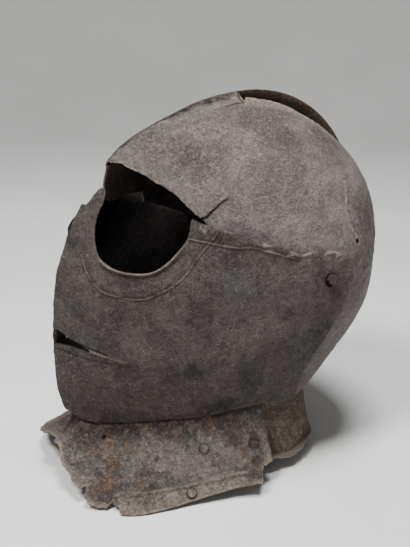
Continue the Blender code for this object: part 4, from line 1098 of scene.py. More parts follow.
    # painted top light: the pale patches are kept to the top of the skull, so the top reads lighter
    high = smooth((np.sin(np.radians(theta)) - 0.25) / 0.6)
    pale = smooth((fractal(where, 26.0, 391, 4) + 0.15) / 0.4)
    rust = smooth((fractal(where, 15.0, 381, 4) - 0.38) / 0.3) * 0.25
    rust = np.maximum(rust, 0.40 * smooth((16.0 - np.linalg.norm(base - skull_form(41.0, 0.14), axis=1)) / 10.0)
                      * smooth(0.6 + fractal(where, 6.0, 83, 3)))
    blue, dark = np.zeros(len(where)), np.zeros(len(where))
    d = distance(base, trace(BLUE_PATCH, skull_form))
    blue = 0.8 * smooth((7.0 - d + 3.0 * fractal(where, 9.0, 371, 3)) / 4.0)
    for at_theta, at_t, size, strength, kind in SKULL_STAINS:
        centre = skull_form(at_theta, at_t)
        d = np.linalg.norm(base - centre, axis=1) / size
        spot = strength * smooth((1.0 - d + 0.8 * fractal(where, 10.0, 373, 5, 0.72)) / 0.4)
        if kind == "dark":
            dark = np.maximum(dark, spot)
        else:
            blue = np.maximum(blue, spot)
    dark = np.maximum(dark, 0.55 * flank)
    # painted shade: the back of the skull is darkened, more so towards the rear and down
    dark = np.maximum(dark, 0.60 * smooth((84.0 - theta + 14.0 * noise(where, 22.0, 368)) / 40.0) * smooth((t - 0.12) / 0.25))
    if broken:
        ragged_top = smooth((theta - 101.0) / 2.0) * smooth((150.0 - theta) / 8.0) * smooth((3.6 - gap_to_medial + 1.6 * noise(where, 7.0, 399)) / 1.2)
        dark = np.maximum(dark, ragged_top)
    cloud = smooth((fractal(where, 30.0, 396, 6, 0.66) - 0.08) / 0.14) * 0.32
    dark = np.maximum(dark, 0.6 * cloud * smooth(0.65 + 1.2 * noise(where, 16.0, 397)))
    zero = np.zeros(len(plan))
    comb_inside = smooth((30.0 - gap_to_medial) / 6.0) * smooth((height - 1.0) / 2.0)
    masks = {
        "wear_and_highlight": (wear_and_highlight, zero), "groove_and_shade": (crack_mask, zero), "pit": (pit, zero), "blue": (blue, zero),
        "rust": (rust, np.maximum(0.95 * comb_inside, 0.5 * smooth((fractal(where, 12.0, 395, 3) + 0.1) / 0.3))),
        "dark": (dark, 0.5 * (1 - comb_inside)),
        "pale": (high * pale, zero),
    }
    verts, faces, masks = shell_masks(outer, inner, faces, masks)
    return made(name, verts, faces, mat, (0.0, 0.0, 0.0), "skull", stands_for, masks)


# ---------------------------------------------------------------- the neck flanges

# fraction along the flange, fraction down it where the torn edge runs
LEFT_EDGE = [
    (0.000, 1.00), (0.020, 1.00), (0.060, 0.985), (0.090, 0.965), (0.138, 0.938), (0.180, 0.955), (0.212, 0.950),
    (0.240, 0.975), (0.268, 0.988), (0.287, 0.990), (0.298, 0.975), (0.303, 0.925), (0.309, 0.915), (0.314, 0.950),
    (0.319, 1.015), (0.335, 1.028), (0.352, 1.026), (0.372, 1.022), (0.386, 1.005), (0.391, 0.985),
    (0.3945, 0.920), (0.398, 0.905), (0.404, 0.930), (0.415, 0.936), (0.424, 0.950), (0.432, 0.990),
    (0.440, 1.002), (0.47, 1.004), (0.50, 1.000), (0.56, 1.000), (0.64, 1.000), (0.72, 1.000), (0.80, 1.000),
    (0.842, 1.000), (0.855, 1.012), (0.862, 0.985), (0.866, 0.925), (0.872, 0.880), (0.885, 0.872), (0.90, 0.885),
    (0.915, 0.900), (0.940, 0.925), (0.965, 0.950), (1.000, 0.975),
]
RIGHT_EDGE = [
    (0.000, 1.00), (0.050, 0.99), (0.110, 1.00), (0.150, 0.985), (0.158, 0.930), (0.166, 0.940), (0.172, 0.990),
    (0.230, 1.00), (0.300, 0.98), (0.330, 0.96), (0.372, 0.975), (0.380, 0.90), (0.390, 0.91), (0.398, 0.985),
    (0.460, 1.00), (0.600, 1.00), (0.700, 1.00), (0.712, 0.94), (0.722, 0.935), (0.734, 0.99), (0.800, 0.985),
    (0.860, 0.96), (0.900, 0.93), (0.950, 0.95), (1.000, 0.97),
]
BEAD = [(0.380, 0.83), (0.417, 0.80), (0.470, 0.775), (0.522, 0.762), (0.600, 0.780), (0.665, 0.80), (0.787, 0.825), (0.84, 0.84)]


def at_row(dense, v):
    """Points of each column of a dense grid at its own fraction v of the way down."""
    rows, columns = dense.shape[:2]
    at = np.clip(v, 0.0, 1.06) * (rows - 1)
    i = np.clip(at.astype(int), 0, rows - 2)
    s = (at - i)[..., None]
    j = np.arange(columns)[None, :].repeat(len(v), axis=0)
    return dense[i, j] * (1 - s) + dense[i + 1, j] * s


def flange_half(side, columns, rows):
    grid = front_flange_grid(side, columns, 90)
    tuck, dense = grid[:1], grid[1:]
    at = np.linspace(0, 1, columns)
    table = np.array(LEFT_EDGE if side > 0 else RIGHT_EDGE)
    limit = np.interp(at, table[:, 0], table[:, 1])
    torn = 1 - smooth((at - 0.435) / 0.01) * (1 - smooth((at - 0.845) / 0.01))
    p = np.stack([at * 330.0, np.zeros(columns) + side * 40.0, np.zeros(columns)], -1)
    limit = limit + (0.010 * noise(p, 3.4, 500) + 0.008 * noise(p, 1.5, 501)) * (0.12 + 0.88 * torn) * smooth(at / 0.02)
    w = np.linspace(0, 1, rows) ** 0.92
    v = w[:, None] * limit[None, :]
    sheet = np.concatenate([tuck, at_row(dense, v)])
    v = np.concatenate([v[:1] * 0 - 0.05, v])
    return sheet, v, np.broadcast_to(at, v.shape).copy(), np.broadcast_to(torn, v.shape).copy(), np.broadcast_to(limit, v.shape).copy()


def round_mark(points, centre, radius_mm, width):
    d = np.linalg.norm(points - centre, axis=1)
    return np.exp(-((d - radius_mm) / width) ** 2), d


def build_fine_front_flange(mat):
    columns, rows = 400, 58
    parts = [flange_half(side, columns, rows) for side in (1, -1)]
    sheet = flange(parts[0][0], parts[1][0], True)
    extra = []
    for k in range(1, 5):
        left, right = parts[0][k], parts[1][k]
        extra.append(np.concatenate([right[:, :0:-1], left], axis=1))
    v, at, torn, limit = (e.reshape(-1) for e in extra)
    normal = sheet_normals(sheet)
    flat_sheet, flat_normal = sheet.reshape(-1, 3), normal.reshape(-1, 3)
    p = flat_sheet
    free = smooth((v - 0.06) / 0.16)
    slow = (0.75 * noise(p, 34.0, 511) + 0.45 * noise(p, 15.0, 512) + 0.2 * noise(p, 7.5, 513)) * free
    relief, pit = crust(p, 521)
    relief = relief * 1.25 + 0.10 * noise(p, 2.4, 533)
    flake = smooth((fractal(p, 13.0, 541, 4) - 0.02) / 0.10)
    side_sign = np.sign(p[:, 0])
    bead_table = np.array(BEAD)
    bead_v = np.interp(at, bead_table[:, 0], bead_table[:, 1])
    bead_on = smooth((at - 0.40) / 0.02) * (1 - smooth((at - 0.80) / 0.03))
    to_edge = (limit - v)
    reach = np.linalg.norm(sheet[-1] - sheet[1], axis=1)
    reach = np.broadcast_to(reach, sheet.shape[:2]).reshape(-1)
    bead = bead_on * np.exp(-(((v - bead_v) * reach) / 1.25) ** 2)
    bead_side = bead_on * np.exp(-(((v - bead_v) * reach - 2.3) / 0.9) ** 2)
    edge_mm = to_edge * reach
    roll = (1 - torn) * np.sqrt(np.clip(1 - ((edge_mm - 1.4) / 1.7) ** 2, 0.0, 1.0))
    out = slow + relief * free + 0.16 * flake * free + 0.75 * bead - 0.15 * bead_side + 0.55 * roll
    thin = 1 - 0.5 * torn * smooth((3.0 - edge_mm) / 3.0) * smooth(at * 20)
    marks = np.zeros(len(p))
    stamped = np.zeros(len(p))
    for (a0, v0), size, depth in (((0.632, 0.375), 4.2, 0.38), ((0.853, 0.463), 3.8, 0.28), ((0.475, 0.40), 1.3, 0.25)):
        i = 1 + int(round(v0 * (rows - 1)))
        j = columns - 1 + int(round(a0 * (columns - 1)))
        ringed, d = round_mark(p, sheet[i, j], size, 0.75)
        marks = marks + depth * ringed
        stamped = np.maximum(stamped, ringed * 0.8)
    # the empty rivet hole is a shallow dimple, painted near-black in the groove mask as painted shade for its depth
    i, j = 1 + int(round(0.225 * (rows - 1))), columns - 1 + int(round(0.270 * (columns - 1)))
    d_hole = np.linalg.norm(p - sheet[i, j], axis=1)
    sunk = smooth((2.3 - d_hole) / 0.9)
    out = out - marks - 0.9 * sunk
    outer = flat_sheet + flat_normal * (FLANGE_HALF * thin + out)[:, None]
    inner = flat_sheet - flat_normal * (FLANGE_HALF * thin - slow - 0.5 * bead + 0.35 * roll)[:, None]
    for s in (outer, inner):
        s[:, 2] = np.maximum(s[:, 2], 0.0)
    outer[:, 2] = np.maximum(outer[:, 2], 0.35)
    total_rows, total_columns = sheet.shape[:2]
    faces = sheet_faces(total_rows, total_columns)
    wear_and_highlight = np.maximum(0.9 * smooth((5.2 - edge_mm) / 4.5), 0.75 * bead)
    wear_and_highlight = wear_and_highlight * (0.55 + 0.45 * smooth(0.5 + 0.9 * noise(p, 5.0, 561)))
    wear_and_highlight = np.maximum(wear_and_highlight, 0.30 * smooth((fractal(p, 5.0, 563, 5, 0.75) - 0.10) / 0.16))
    wear_and_highlight = np.maximum(wear_and_highlight, 0.55 * smooth((11.0 - edge_mm + 5.0 * noise(p, 7.0, 564)) / 8.0) * smooth(0.4 + fractal(p, 6.0, 565, 4, 0.7) * 2.0))
    below_bead = bead_on * smooth((v - bead_v) * reach / 1.6)
    wear_and_highlight = np.maximum(wear_and_highlight, 0.62 * below_bead * smooth(0.75 + 1.2 * fractal(p, 8.0, 566, 4, 0.7)))
    rust = smooth((fractal(p, 15.0, 571, 6, 0.7) - 0.08) / 0.16) * 0.66 + 0.14
    rust = np.maximum(rust, 0.7 * smooth((2.0 - edge_mm + 1.2 * noise(p, 5.0, 573)) / 1.4))
    rust = np.maximum(rust, 0.6 * smooth((7.0 - edge_mm + 5.0 * noise(p, 8.0, 572)) / 6.0) * torn)
    dark = smooth((fractal(p, 20.0, 581, 6, 0.7) - 0.03) / 0.12) * 0.85
    # painted shade, with some grime: the flange darkens towards the neck, under the chin and the face plate
    dark = np.maximum(dark * 0.7, 0.85 * smooth((0.36 + 0.10 * noise(p, 15.0, 582) - v) / 0.26))
    blue = smooth((fractal(p, 17.0, 591, 3) - 0.22) / 0.2) * 0.55
    zero = np.zeros(len(p))
    masks = {
        "wear_and_highlight": (wear_and_highlight, wear_and_highlight * 0.4), "groove_and_shade": (np.maximum(stamped, sunk * 1.2) + 0.5 * bead_side, zero), "pit": (pit, zero),
        "blue": (blue, zero), "rust": (rust, rust), "dark": (dark, zero + 0.5),
        "pale": (smooth((fractal(p, 15.0, 601, 6, 0.72) - 0.02) / 0.12), zero),
    }
    verts, faces, masks = shell_masks(outer, inner, faces, masks)
    return made("gorget_front_iron", verts, faces, mat, (0.0, PIVOT_Y, PIVOT_Z), "face", "gorget_front",
                masks)


REAR_EDGE = [
    (0.00, 0.90), (0.03, 1.0), (0.10, 1.0), (0.13, 0.98), (0.17, 1.0), (0.205, 1.0), (0.215, 0.86), (0.225, 0.88), (0.24, 1.0),
    (0.33, 1.0), (0.38, 1.0), (0.392, 0.90), (0.40, 0.84), (0.412, 0.97), (0.44, 1.0), (0.52, 1.0), (0.56, 0.96),
    (0.60, 1.0), (0.70, 1.0), (0.80, 0.98), (0.90, 1.0), (1.00, 1.0),
]


def rear_half(side, columns, rows, lip_rows):
    grid = rear_flange_grid(side, columns, 70)
    tuck, dense, lip = grid[:1], grid[1:-1], grid[-1]
    at = np.linspace(0, 1, columns)
    w = np.linspace(0, 1, rows)
    v = np.broadcast_to(w[:, None], (rows, columns))
    body = at_row(dense, v)
    table = np.array(REAR_EDGE)
    limit = np.interp(at, table[:, 0], table[:, 1])
    p = np.stack([at * 220.0, np.zeros(columns) + side * 70.0, np.zeros(columns)], -1)
    limit = limit + 0.10 * noise(p, 5.5, 700) + 0.07 * noise(p, 2.0, 701)
    limit = np.clip(limit, 0.3, 1.12)
    rim = dense[-1]
    reach = np.linalg.norm(lip - rim, axis=1, keepdims=True)
    lips = []
    for s in np.linspace(0, 1, lip_rows + 1)[1:]:
        u = s * limit[:, None]
        point = rim + (lip - rim) * u
        point = point + np.array([0.0, 0.0, 1.0]) * (reach * 0.16 * u**2)
        lips.append(point)
    sheet = np.concatenate([tuck, body, np.array(lips)])
    s_all = np.concatenate([[-0.05], w, 1 + np.linspace(0, 1, lip_rows + 1)[1:]])
    v = np.broadcast_to(s_all[:, None], sheet.shape[:2]).copy()
    return sheet, v, np.broadcast_to(at, v.shape).copy(), np.broadcast_to(reach[:, 0], v.shape).copy()


def build_fine_rear_flange(mat):
    columns, rows, lip_rows = 300, 40, 14
    parts = [rear_half(side, columns, rows, lip_rows) for side in (1, -1)]
    sheet = flange(parts[0][0], parts[1][0], False)
    extra = []
    for k in range(1, 4):
        left, right = parts[0][k], parts[1][k]
        extra.append(np.concatenate([left[:, :-1], right[:, ::-1]], axis=1)[:, ::-1])
    v, at, reach = (e.reshape(-1) for e in extra)
    normal = sheet_normals(sheet).reshape(-1, 3)
    p = sheet.reshape(-1, 3)
    free = smooth((v - 0.08) / 0.2)
    slow = (0.55 * noise(p, 22.0, 711) + 0.35 * noise(p, 11.0, 712) + 0.22 * noise(p, 6.0, 713)) * free
    relief, pit = crust(p, 721)
    flake = smooth((fractal(p, 9.0, 741, 4) - 0.05) / 0.12)
    edge_mm = np.clip(2 - v, 0, 1) * reach
    thin = 1 - 0.35 * smooth((2.2 - edge_mm) / 2.2) * (v > 1.0)
    out = slow + (relief * 1.6 + 0.22 * flake + 0.12 * noise(p, 2.6, 733)) * free
    outer = p + normal * (FLANGE_HALF * thin + out)[:, None]
    inner = p - normal * (FLANGE_HALF * thin - slow)[:, None]
    for s in (outer, inner):
        s[:, 2] = np.maximum(s[:, 2], 0.0)
    faces = sheet_faces(*sheet.shape[:2])
    wear_and_highlight = 0.9 * smooth((v - 0.93) / 0.12) * (0.5 + 0.5 * smooth(0.5 + noise(p, 4.0, 761)))
    wear_and_highlight = np.maximum(wear_and_highlight, 0.7 * smooth((fractal(p, 7.0, 763, 5, 0.7) - 0.05) / 0.10) * smooth((v - 0.30) / 0.2))
    cracks = smooth((0.055 - np.abs(noise(p * np.array([1.0, 1.0, 1.8]), 9.0, 765))) / 0.035) * smooth((v - 0.35) / 0.15)
    rust = smooth((fractal(p, 12.0, 771, 5, 0.65) + 0.06) / 0.35) * 0.6
    dark = smooth((fractal(p, 12.0, 781, 6, 0.7) - 0.06) / 0.12) * 0.8
    zero = np.zeros(len(p))
    masks = {
        "wear_and_highlight": (wear_and_highlight, wear_and_highlight * 0.6), "groove_and_shade": (0.75 * cracks, zero), "pit": (pit, zero), "blue": (zero, zero),
        "rust": (rust, rust), "dark": (np.maximum(0.6 * dark, 0.8 * smooth((0.25 - v) / 0.2)), zero + 0.5),
        "pale": (smooth((fractal(p, 11.0, 791, 6, 0.7) + 0.02) / 0.12), zero),
    }
    verts, faces, masks = shell_masks(outer, inner, faces, masks)
    return made("gorget_rear_iron", verts, faces, mat, (0.0, 0.0, 0.0), "skull", "gorget_rear",
                masks)


# ---------------------------------------------------------------- rivets

def smooth_profile(profile, count):
    """The same turned profile with its straight runs divided."""
    out = []
    for (r0, h0), (r1, h1) in zip(profile, profile[1:]):
        n = max(1, int(math.hypot(r1 - r0, h1 - h0) / count))
        for i in range(n):
            out.append((r0 + (r1 - r0) * i / n, h0 + (h1 - h0) * i / n))
    out.append(profile[-1])
    return out


def build_fine_rivet(name, stands_for, body, centre, axis, profile, mat, seed, head_from, pale):
    fine = smooth_profile(profile, 0.45)
    verts, faces = turned(fine, 56, centre, axis)
    a, b, c = (verts[faces[:, i]] - np.array(centre) for i in range(3))
    if np.einsum("ij,ij->i", a, np.cross(b, c)).sum() < 0:
        faces = faces[:, ::-1]
    unit = np.array(axis, float) / np.linalg.norm(axis)
    local = verts - np.array(centre)
    height = local @ unit
    radial = local - height[:, None] * unit
    r = np.linalg.norm(radial, axis=1)
    on_head = (height > head_from) * 1.0
    wobble = 0.16 * noise(verts, 3.6, seed) + 0.07 * noise(verts, 1.7, seed + 1) - 0.22 * pits(verts, 3.0, seed + 2, 0.35, 0.5, 1.1)
    direction = np.where(r[:, None] > 1e-6, radial / np.maximum(r, 1e-6)[:, None], 0.0)
    top = smooth((height - head_from) / 0.6)
    verts = verts + unit * (wobble * on_head * top)[:, None] + direction * (0.22 * noise(verts, 4.2, seed + 3) * on_head * (r > 1.0))[:, None]
    rim = smooth((r - (r.max() - 1.2)) / 1.0) * on_head
    zero = np.zeros(len(verts))
    masks = {
        "wear_and_highlight": 0.55 * (1 - rim) * on_head * smooth(0.5 + noise(verts, 2.4, seed + 5)), "groove_and_shade": 0.95 * rim,
        "pit": zero, "blue": zero, "rust": 0.5 * smooth(0.3 + noise(verts, 3.0, seed + 6)), "dark": 0.3 * rim,
        "pale": zero + pale,
    }
    if not pale:
        # painted shadow: a dark crescent under the low front side of the head
        down = (radial @ np.array([0.0, -0.75, -0.66])) / np.maximum(r, 1e-6)
        masks["groove_and_shade"] = np.maximum(masks["groove_and_shade"], smooth((down - 0.35) / 0.4) * smooth((r - 2.6) / 1.6) * on_head)
        masks["wear_and_highlight"] = masks["wear_and_highlight"] * 0.35
    return made(name, verts, faces, mat, tuple(centre), body, stands_for, masks)


# ---------------------------------------------------------------- finish of the iron

class Graph:
    """Short way to write a node material."""

    def __init__(self, name):
        self.mat = bpy.data.materials.new(name)
        self.mat.use_nodes = True
        self.tree = self.mat.node_tree
        self.shader = self.tree.nodes["Principled BSDF"]
        self.coords = self.tree.nodes.new("ShaderNodeTexCoord").outputs["Object"]

    def link(self, a, b):
        self.tree.links.new(a, b)

    def node(self, kind, **settings):
        node = self.tree.nodes.new(kind)
        for key, value in settings.items():
            setattr(node, key, value)
        return node

    def noise(self, scale, detail=4.0, rough=0.55, distortion=0.0, offset=0.0):
        node = self.node("ShaderNodeTexNoise")
        node.inputs["Scale"].default_value = scale
        node.inputs["Detail"].default_value = detail
        node.inputs["Roughness"].default_value = rough
        node.inputs["Distortion"].default_value = distortion
        if offset:
            shift = self.node("ShaderNodeMapping")
            shift.inputs["Location"].default_value = (offset, offset * 0.7, -offset)
            self.link(self.coords, shift.inputs["Vector"])
            self.link(shift.outputs["Vector"], node.inputs["Vector"])
        else:
            self.link(self.coords, node.inputs["Vector"])
        return node.outputs["Fac"]

    def voronoi(self, scale, feature="F1", randomness=1.0):
        node = self.node("ShaderNodeTexVoronoi", feature=feature)
        node.inputs["Scale"].default_value = scale
        node.inputs["Randomness"].default_value = randomness
        self.link(self.coords, node.inputs["Vector"])
        return node.outputs["Distance"]

    def ramp(self, value, *stops):
        node = self.node("ShaderNodeValToRGB")
        ramp = node.color_ramp
        while len(ramp.elements) > len(stops):
            ramp.elements.remove(ramp.elements[-1])
        while len(ramp.elements) < len(stops):
            ramp.elements.new(0.5)
        for element, (at, colour) in zip(ramp.elements, stops):
            element.position = at
            element.color = (*colour, 1.0) if isinstance(colour, tuple) else (colour, colour, colour, 1.0)
        self.link(value, node.inputs["Fac"])
        return node.outputs["Color"]

    def math(self, operation, a, b=None, clamp=False):
        node = self.node("ShaderNodeMath", operation=operation, use_clamp=clamp)
        for socket, value in zip(node.inputs, (a, b)):
            if value is None:
                continue
            if isinstance(value, (int, float)):
                socket.default_value = value
            else:
                self.link(value, socket)
        return node.outputs[0]

    def mask(self, name):
        node = self.node("ShaderNodeAttribute", attribute_type="GEOMETRY", attribute_name=name)
        return node.outputs["Fac"]

    def mix(self, factor, a, b, blend="MIX"):
        node = self.node("ShaderNodeMix", data_type="RGBA", blend_type=blend)
        node.clamp_factor = True
        for socket, value in ((node.inputs["Factor"], factor), (node.inputs[6], a), (node.inputs[7], b)):
            if isinstance(value, tuple):
                socket.default_value = (*value, 1.0)
            elif isinstance(value, (int, float)):
                socket.default_value = value
            else:
                self.link(value, socket)
        return node.outputs[2]


def iron(name, dark, middle, light, rust_amount=1.0, pale_amount=1.0, rough=(0.44, 0.70), metallic=0.35, relief=1.0):
    g = Graph(name)
    slow = g.noise(24.0, 9.0, 0.68, 0.35)
    blotch = g.noise(120.0, 9.0, 0.74, 0.3, 3.0)
    grain = g.noise(760.0, 4.0, 0.65, 0.0, 7.0)
    flakes = g.noise(230.0, 9.0, 0.72, 0.5, 15.0)
    wrinkle = g.math("ABSOLUTE", g.math("SUBTRACT", g.noise(300.0, 5.0, 0.62, 0.9, 21.0), 0.5))
    crease = g.ramp(wrinkle, (0.0, 1.0), (0.035, 0.0))
    plateau = g.ramp(flakes, (0.485, 0.0), (0.535, 1.0))
    cells = g.voronoi(430.0)
    pocks = g.math("MULTIPLY", g.ramp(cells, (0.14, 1.0), (0.30, 0.0)), g.ramp(g.noise(60.0, 6.0, 0.7, 0.0, 31.0), (0.46, 0.0), (0.56, 1.0)))
    body = g.math("ADD", g.math("MULTIPLY", slow, 0.55), g.math("MULTIPLY", blotch, 0.45))
    colour = g.ramp(body, (0.39, dark), (0.50, middle), (0.61, light))
    # flaked and granular mottling
    colour = g.mix(g.math("MULTIPLY", plateau, 0.30), colour, tuple(1.25 * c for c in light))
    colour = g.mix(g.math("MULTIPLY", g.ramp(grain, (0.50, 0.0), (0.66, 1.0)), 0.36), colour, tuple(1.9 * c for c in light))
    colour = g.mix(g.math("MULTIPLY", g.ramp(grain, (0.34, 1.0), (0.48, 0.0)), 0.50), colour, tuple(0.5 * c for c in dark))
    colour = g.mix(g.math("MULTIPLY", crease, 0.38), colour, tuple(0.45 * c for c in dark))
    colour = g.mix(g.math("MULTIPLY", pocks, 0.50), colour, tuple(0.45 * c for c in dark))
    dots = g.math("MULTIPLY", g.ramp(g.voronoi(300.0), (0.10, 1.0), (0.17, 0.0)), g.ramp(g.noise(45.0, 4.0, 0.6, 0.0, 41.0), (0.54, 0.0), (0.60, 1.0)))
    colour = g.mix(g.math("MULTIPLY", dots, 0.75), colour, (0.32, 0.29, 0.26))
    # masks worked into the mesh
    ragged_noise = g.ramp(g.noise(420.0, 7.0, 0.74, 0.0, 5.0), (0.42, 0.0), (0.58, 1.0))
    # the pale mask gives pale patches, and on the skull painted top light
    pale = g.math("MULTIPLY", g.mask("pale"), pale_amount)
    colour = g.mix(g.math("MULTIPLY", pale, g.math("ADD", g.math("MULTIPLY", ragged_noise, 0.45), 0.25)), colour,
                   (0.290, 0.255, 0.235))
    # the dark mask holds stains and grime, and also painted shade: the right nasal rim, the back of the skull, the
    # flange towards the neck
    dirt_and_shade = g.math("MULTIPLY", g.mask("dark"), g.math("ADD", g.math("MULTIPLY", g.ramp(flakes, (0.44, 1.0), (0.56, 0.0)), 0.45), 0.45))
    colour = g.mix(dirt_and_shade, colour, (0.020, 0.0185, 0.0180))
    colour = g.mix(g.math("MULTIPLY", g.mask("blue"), 0.50), colour, (0.066, 0.074, 0.082))
    rusty = g.math("MULTIPLY", g.mask("rust"), rust_amount)
    rusty = g.math("MULTIPLY", rusty, g.math("ADD", g.math("MULTIPLY", ragged_noise, 0.75), 0.25), clamp=True)
    rust_colour = g.ramp(g.noise(360.0, 5.0, 0.65, 0.0, 9.0), (0.38, (0.060, 0.032, 0.021)), (0.52, (0.140, 0.076, 0.044)),
                         (0.66, (0.26, 0.165, 0.100)))
    colour = g.mix(rusty, colour, rust_colour)
    colour = g.mix(g.math("MULTIPLY", g.mask("pit"), 0.45), colour, (0.022, 0.017, 0.015))
    # the wear mask holds worn metal and painted highlights: the foot of the comb, the seam and its wrinkles, the
    # engraved lines
    wear_and_highlight_mix = g.math("MULTIPLY", g.mask("wear_and_highlight"), g.math("ADD", g.math("MULTIPLY", ragged_noise, 0.40), 0.60), clamp=True)
    colour = g.mix(g.math("MULTIPLY", wear_and_highlight_mix, 0.90), colour, (0.36, 0.300, 0.245))
    # the groove mask darkens grooves and cracks, and paints shade: under the eye lip, on the right nasal rim, under the
    # rivet heads, in the empty rivet hole
    colour = g.mix(g.math("MULTIPLY", g.mask("groove_and_shade"), 0.90, clamp=True), colour, (0.008, 0.0065, 0.006))
    g.link(colour, g.shader.inputs["Base Color"])
    # roughness
    shine = g.ramp(g.noise(190.0, 6.0, 0.7, 0.0, 13.0), (0.40, rough[0]), (0.60, rough[1]))
    shine = g.mix(rusty, shine, (0.9, 0.9, 0.9))
    g.link(shine, g.shader.inputs["Roughness"])
    g.shader.inputs["Metallic"].default_value = metallic
    gloss = g.math("SUBTRACT", 0.36, g.math("MULTIPLY", g.math("MAXIMUM", g.mask("groove_and_shade"), g.math("MULTIPLY", g.mask("dark"), 0.6)), 0.36), clamp=True)
    g.link(gloss, g.shader.inputs["Specular IOR Level"])
    # relief under a millimetre
    fine = g.math("ADD", g.math("MULTIPLY", grain, 0.75), g.math("MULTIPLY", plateau, 0.62))
    fine = g.math("SUBTRACT", fine, g.math("MULTIPLY", crease, 0.30))
    fine = g.math("SUBTRACT", fine, g.math("MULTIPLY", pocks, 0.34))
    fine = g.math("ADD", fine, g.math("MULTIPLY", flakes, 2.2))
    bump = g.node("ShaderNodeBump")
    bump.inputs["Strength"].default_value = min(1.0, 0.95 * relief)
    bump.inputs["Distance"].default_value = 0.0026
    g.link(fine, bump.inputs["Height"])
    g.link(bump.outputs["Normal"], g.shader.inputs["Normal"])
    return g.mat


# ---------------------------------------------------------------- stage, light and camera

def build_stage():
    profile = [(0.0, 0.0), (0.6, 0.0), (1.2, 0.0), (1.6, 0.0)]
    for i in range(1, 17):
        a = math.pi / 2 * i / 16
        profile.append((1.6 + 1.0 * math.sin(a), 1.0 - 1.0 * math.cos(a)))
    profile += [(2.6, 2.2), (2.6, 3.4)]
    count = 96
    verts, faces = [(0.0, 0.0, 0.0)], []
    for r, h in profile[1:]:
        for i in range(count):
            a = 2 * math.pi * i / count
            verts.append((r * math.cos(a), r * math.sin(a), h))
    for i in range(count):
        faces.append((0, 1 + i, 1 + (i + 1) % count))
    for k in range(len(profile) - 2):
        for i in range(count):
            j = (i + 1) % count
            faces.append((1 + k * count + i, 1 + (k + 1) * count + i, 1 + (k + 1) * count + j, 1 + k * count + j))
    mesh = bpy.data.meshes.new("floor")
    mesh.from_pydata(verts, [], faces)
    mesh.shade_smooth()
    g = Graph("floor_paper")
    tone = g.ramp(g.noise(3.0, 5.0, 0.6), (0.3, (0.50, 0.495, 0.485)), (0.7, (0.56, 0.555, 0.545)))
    g.link(tone, g.shader.inputs["Base Color"])
    g.shader.inputs["Roughness"].default_value = 0.85
    bump = g.node("ShaderNodeBump")
    bump.inputs["Strength"].default_value = 0.08
    bump.inputs["Distance"].default_value = 0.0006
    g.link(g.noise(900.0, 3.0, 0.6), bump.inputs["Height"])
    g.link(bump.outputs["Normal"], g.shader.inputs["Normal"])
    mesh.materials.append(g.mat)
    floor = bpy.data.objects.new("floor", mesh)
    bpy.context.scene.collection.objects.link(floor)


def area_light(name, at, target, size, power, colour=(1.0, 1.0, 1.0)):
    light = bpy.data.lights.new(name, "AREA")
    light.shape = "DISK"
    light.size = size
    light.energy = power
    light.color = colour
    obj = bpy.data.objects.new(name, light)
    obj.location = at
    obj.rotation_mode = "QUATERNION"
    obj.rotation_quaternion = (Vector(target) - Vector(at)).to_track_quat("-Z", "Y")
    bpy.context.scene.collection.objects.link(obj)
    return obj


def build_lights():
    area_light("key_light", (0.30, -0.76, 1.45), (0.0, 0.0, 0.15), 0.42, 38.0, (1.0, 0.985, 0.965))
    area_light("top_light", (0.15, 0.02, 1.75), (0.0, 0.0, 0.2), 0.5, 48.0, (0.97, 0.985, 1.0))
    area_light("fill_light", (1.6, -0.9, 0.8), (0.0, 0.0, 0.15), 1.2, 3.0)
    world = bpy.data.worlds.new("room")
    world.use_nodes = True
    world.node_tree.nodes["Background"].inputs["Color"].default_value = (0.80, 0.82, 0.85, 1.0)
    world.node_tree.nodes["Background"].inputs["Strength"].default_value = 0.22
    bpy.context.scene.world = world


def build_camera():
    data = bpy.data.cameras.new("camera")
    data.lens = 52.65
    data.sensor_width = 36.0
    data.sensor_fit = "AUTO"
    data.clip_start, data.clip_end = 0.02, 30.0
    camera = bpy.data.objects.new("camera", data)
    at, target = Vector((0.5771, -0.2958, 0.3760)), Vector((0.0, -0.0018, 0.153))
    camera.location = at
    camera.rotation_mode = "QUATERNION"
    camera.rotation_quaternion = (target - at).to_track_quat("-Z", "Y")
    bpy.context.scene.collection.objects.link(camera)
    bpy.context.scene.camera = camera


# ---------------------------------------------------------------- all of it

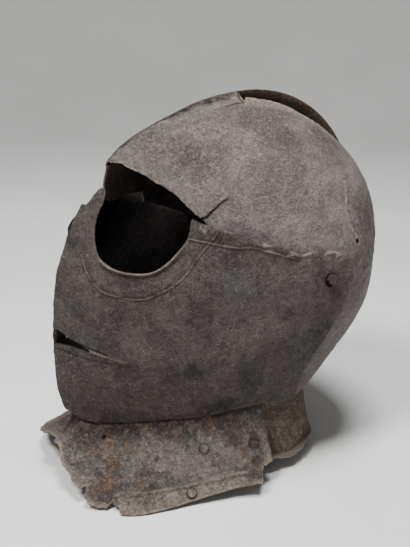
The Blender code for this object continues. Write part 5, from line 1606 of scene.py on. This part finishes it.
def scene():
    skull_mat = iron("skull_iron", (0.100, 0.081, 0.074), (0.142, 0.117, 0.107), (0.198, 0.166, 0.152), 0.8, 0.85)
    far_mat = iron("skull_iron_right", (0.080, 0.064, 0.058), (0.130, 0.107, 0.097), (0.190, 0.160, 0.147), 1.0, 0.8)
    face_mat = iron("face_iron", (0.034, 0.0265, 0.0240), (0.064, 0.0505, 0.0462), (0.112, 0.092, 0.084), 0.8, 0.5)
    front_mat = iron("flange_iron", (0.040, 0.034, 0.032), (0.082, 0.071, 0.068), (0.145, 0.126, 0.119), 1.0, 0.60,
                     (0.50, 0.80), 0.25, 1.1)
    # the rear flange is lighter: beige rust, and partly painted light, since the lamps barely reach it under the head
    rear_mat = iron("flange_iron_rear", (0.095, 0.070, 0.056), (0.200, 0.150, 0.118), (0.330, 0.260, 0.210), 1.0, 0.9,
                    (0.6, 0.9), 0.2, 1.5)
    rivet_tones = [(0.022, 0.018, 0.016), (0.040, 0.032, 0.029), (0.070, 0.058, 0.052)]
    flange_tones = [(0.050, 0.042, 0.037), (0.090, 0.076, 0.067), (0.140, 0.120, 0.105)]
    rivet_mats = [iron("rivet_iron_%d" % i, *(rivet_tones if i < 2 else flange_tones), 0.7, 0.8) for i in range(4)]

    build_fine_skull("skull_left_iron", "skull_left", 1, skull_mat)
    build_fine_skull("skull_right_iron", "skull_right", -1, far_mat)
    build_fine_face(face_mat)
    build_fine_front_flange(front_mat)
    build_fine_rear_flange(rear_mat)

    columns, rows = 34, 8
    front = flange(front_flange_grid(1, columns, rows), front_flange_grid(-1, columns, rows), True)
    normal = sheet_normals(front)
    for side, name in ((1, "left"), (-1, "right")):
        face_out = HALF_WIDTH + FACE_OUT + 0.3
        skull_in = HALF_WIDTH + SKULL_IN - 0.9
        head = [(PIVOT_HEAD_R, face_out), (PIVOT_HEAD_R + 0.05, face_out + 0.5), (PIVOT_HEAD_R - 0.45, face_out + 1.25),
                (PIVOT_HEAD_R - 1.4, face_out + 1.9), (PIVOT_HEAD_R - 3.0, face_out + 2.35), (0.0, face_out + 2.55)]
        profile = [(0.0, skull_in - 2.4), (3.4, skull_in - 2.0), (4.8, skull_in), (PIVOT_SHANK_R, skull_in),
                   (PIVOT_SHANK_R, face_out)] + head
        build_fine_rivet("pivot_rivet_%s_iron" % name, "pivot_rivet_" + name,
                         "skull", (0.0, PIVOT_Y, PIVOT_Z), (side, 0.0, 0.0), profile, rivet_mats[0 if side > 0 else 1],
                         801 + side, face_out - 0.1, 0.0)
        j = GORGET_RIVET_AT[0] * (columns - 1) * side + columns - 1
        i = 1 + GORGET_RIVET_AT[1] * (rows - 1)
        i0, j0 = int(i), int(math.floor(j))
        di, dj = i - i0, j - j0
        point = sum(w * front[a, b] for w, a, b in (
            ((1 - di) * (1 - dj), i0, j0), ((1 - di) * dj, i0, j0 + 1),
            (di * (1 - dj), i0 + 1, j0), (di * dj, i0 + 1, j0 + 1)))
        axis = normal[i0:i0 + 2, j0:j0 + 2].mean(axis=(0, 1))
        axis /= np.linalg.norm(axis)
        top = FLANGE_HALF + 0.3
        profile = [(0.0, -top - 1.0), (2.9, -top - 0.9), (3.3, -top), (GORGET_RIVET_R, -top), (GORGET_RIVET_R, top),
                   (GORGET_RIVET_HEAD_R, top), (GORGET_RIVET_HEAD_R, top + 0.45), (GORGET_RIVET_HEAD_R - 0.5, top + 0.9),
                   (0.0, top + 1.2)]
        build_fine_rivet("gorget_rivet_%s_iron" % name, "gorget_rivet_" + name,
                         "face", point, axis, profile, rivet_mats[2 if side > 0 else 3], 821 + side, top - 0.1, 0.6)
    build_stage()
    build_lights()
    build_camera()


scene()
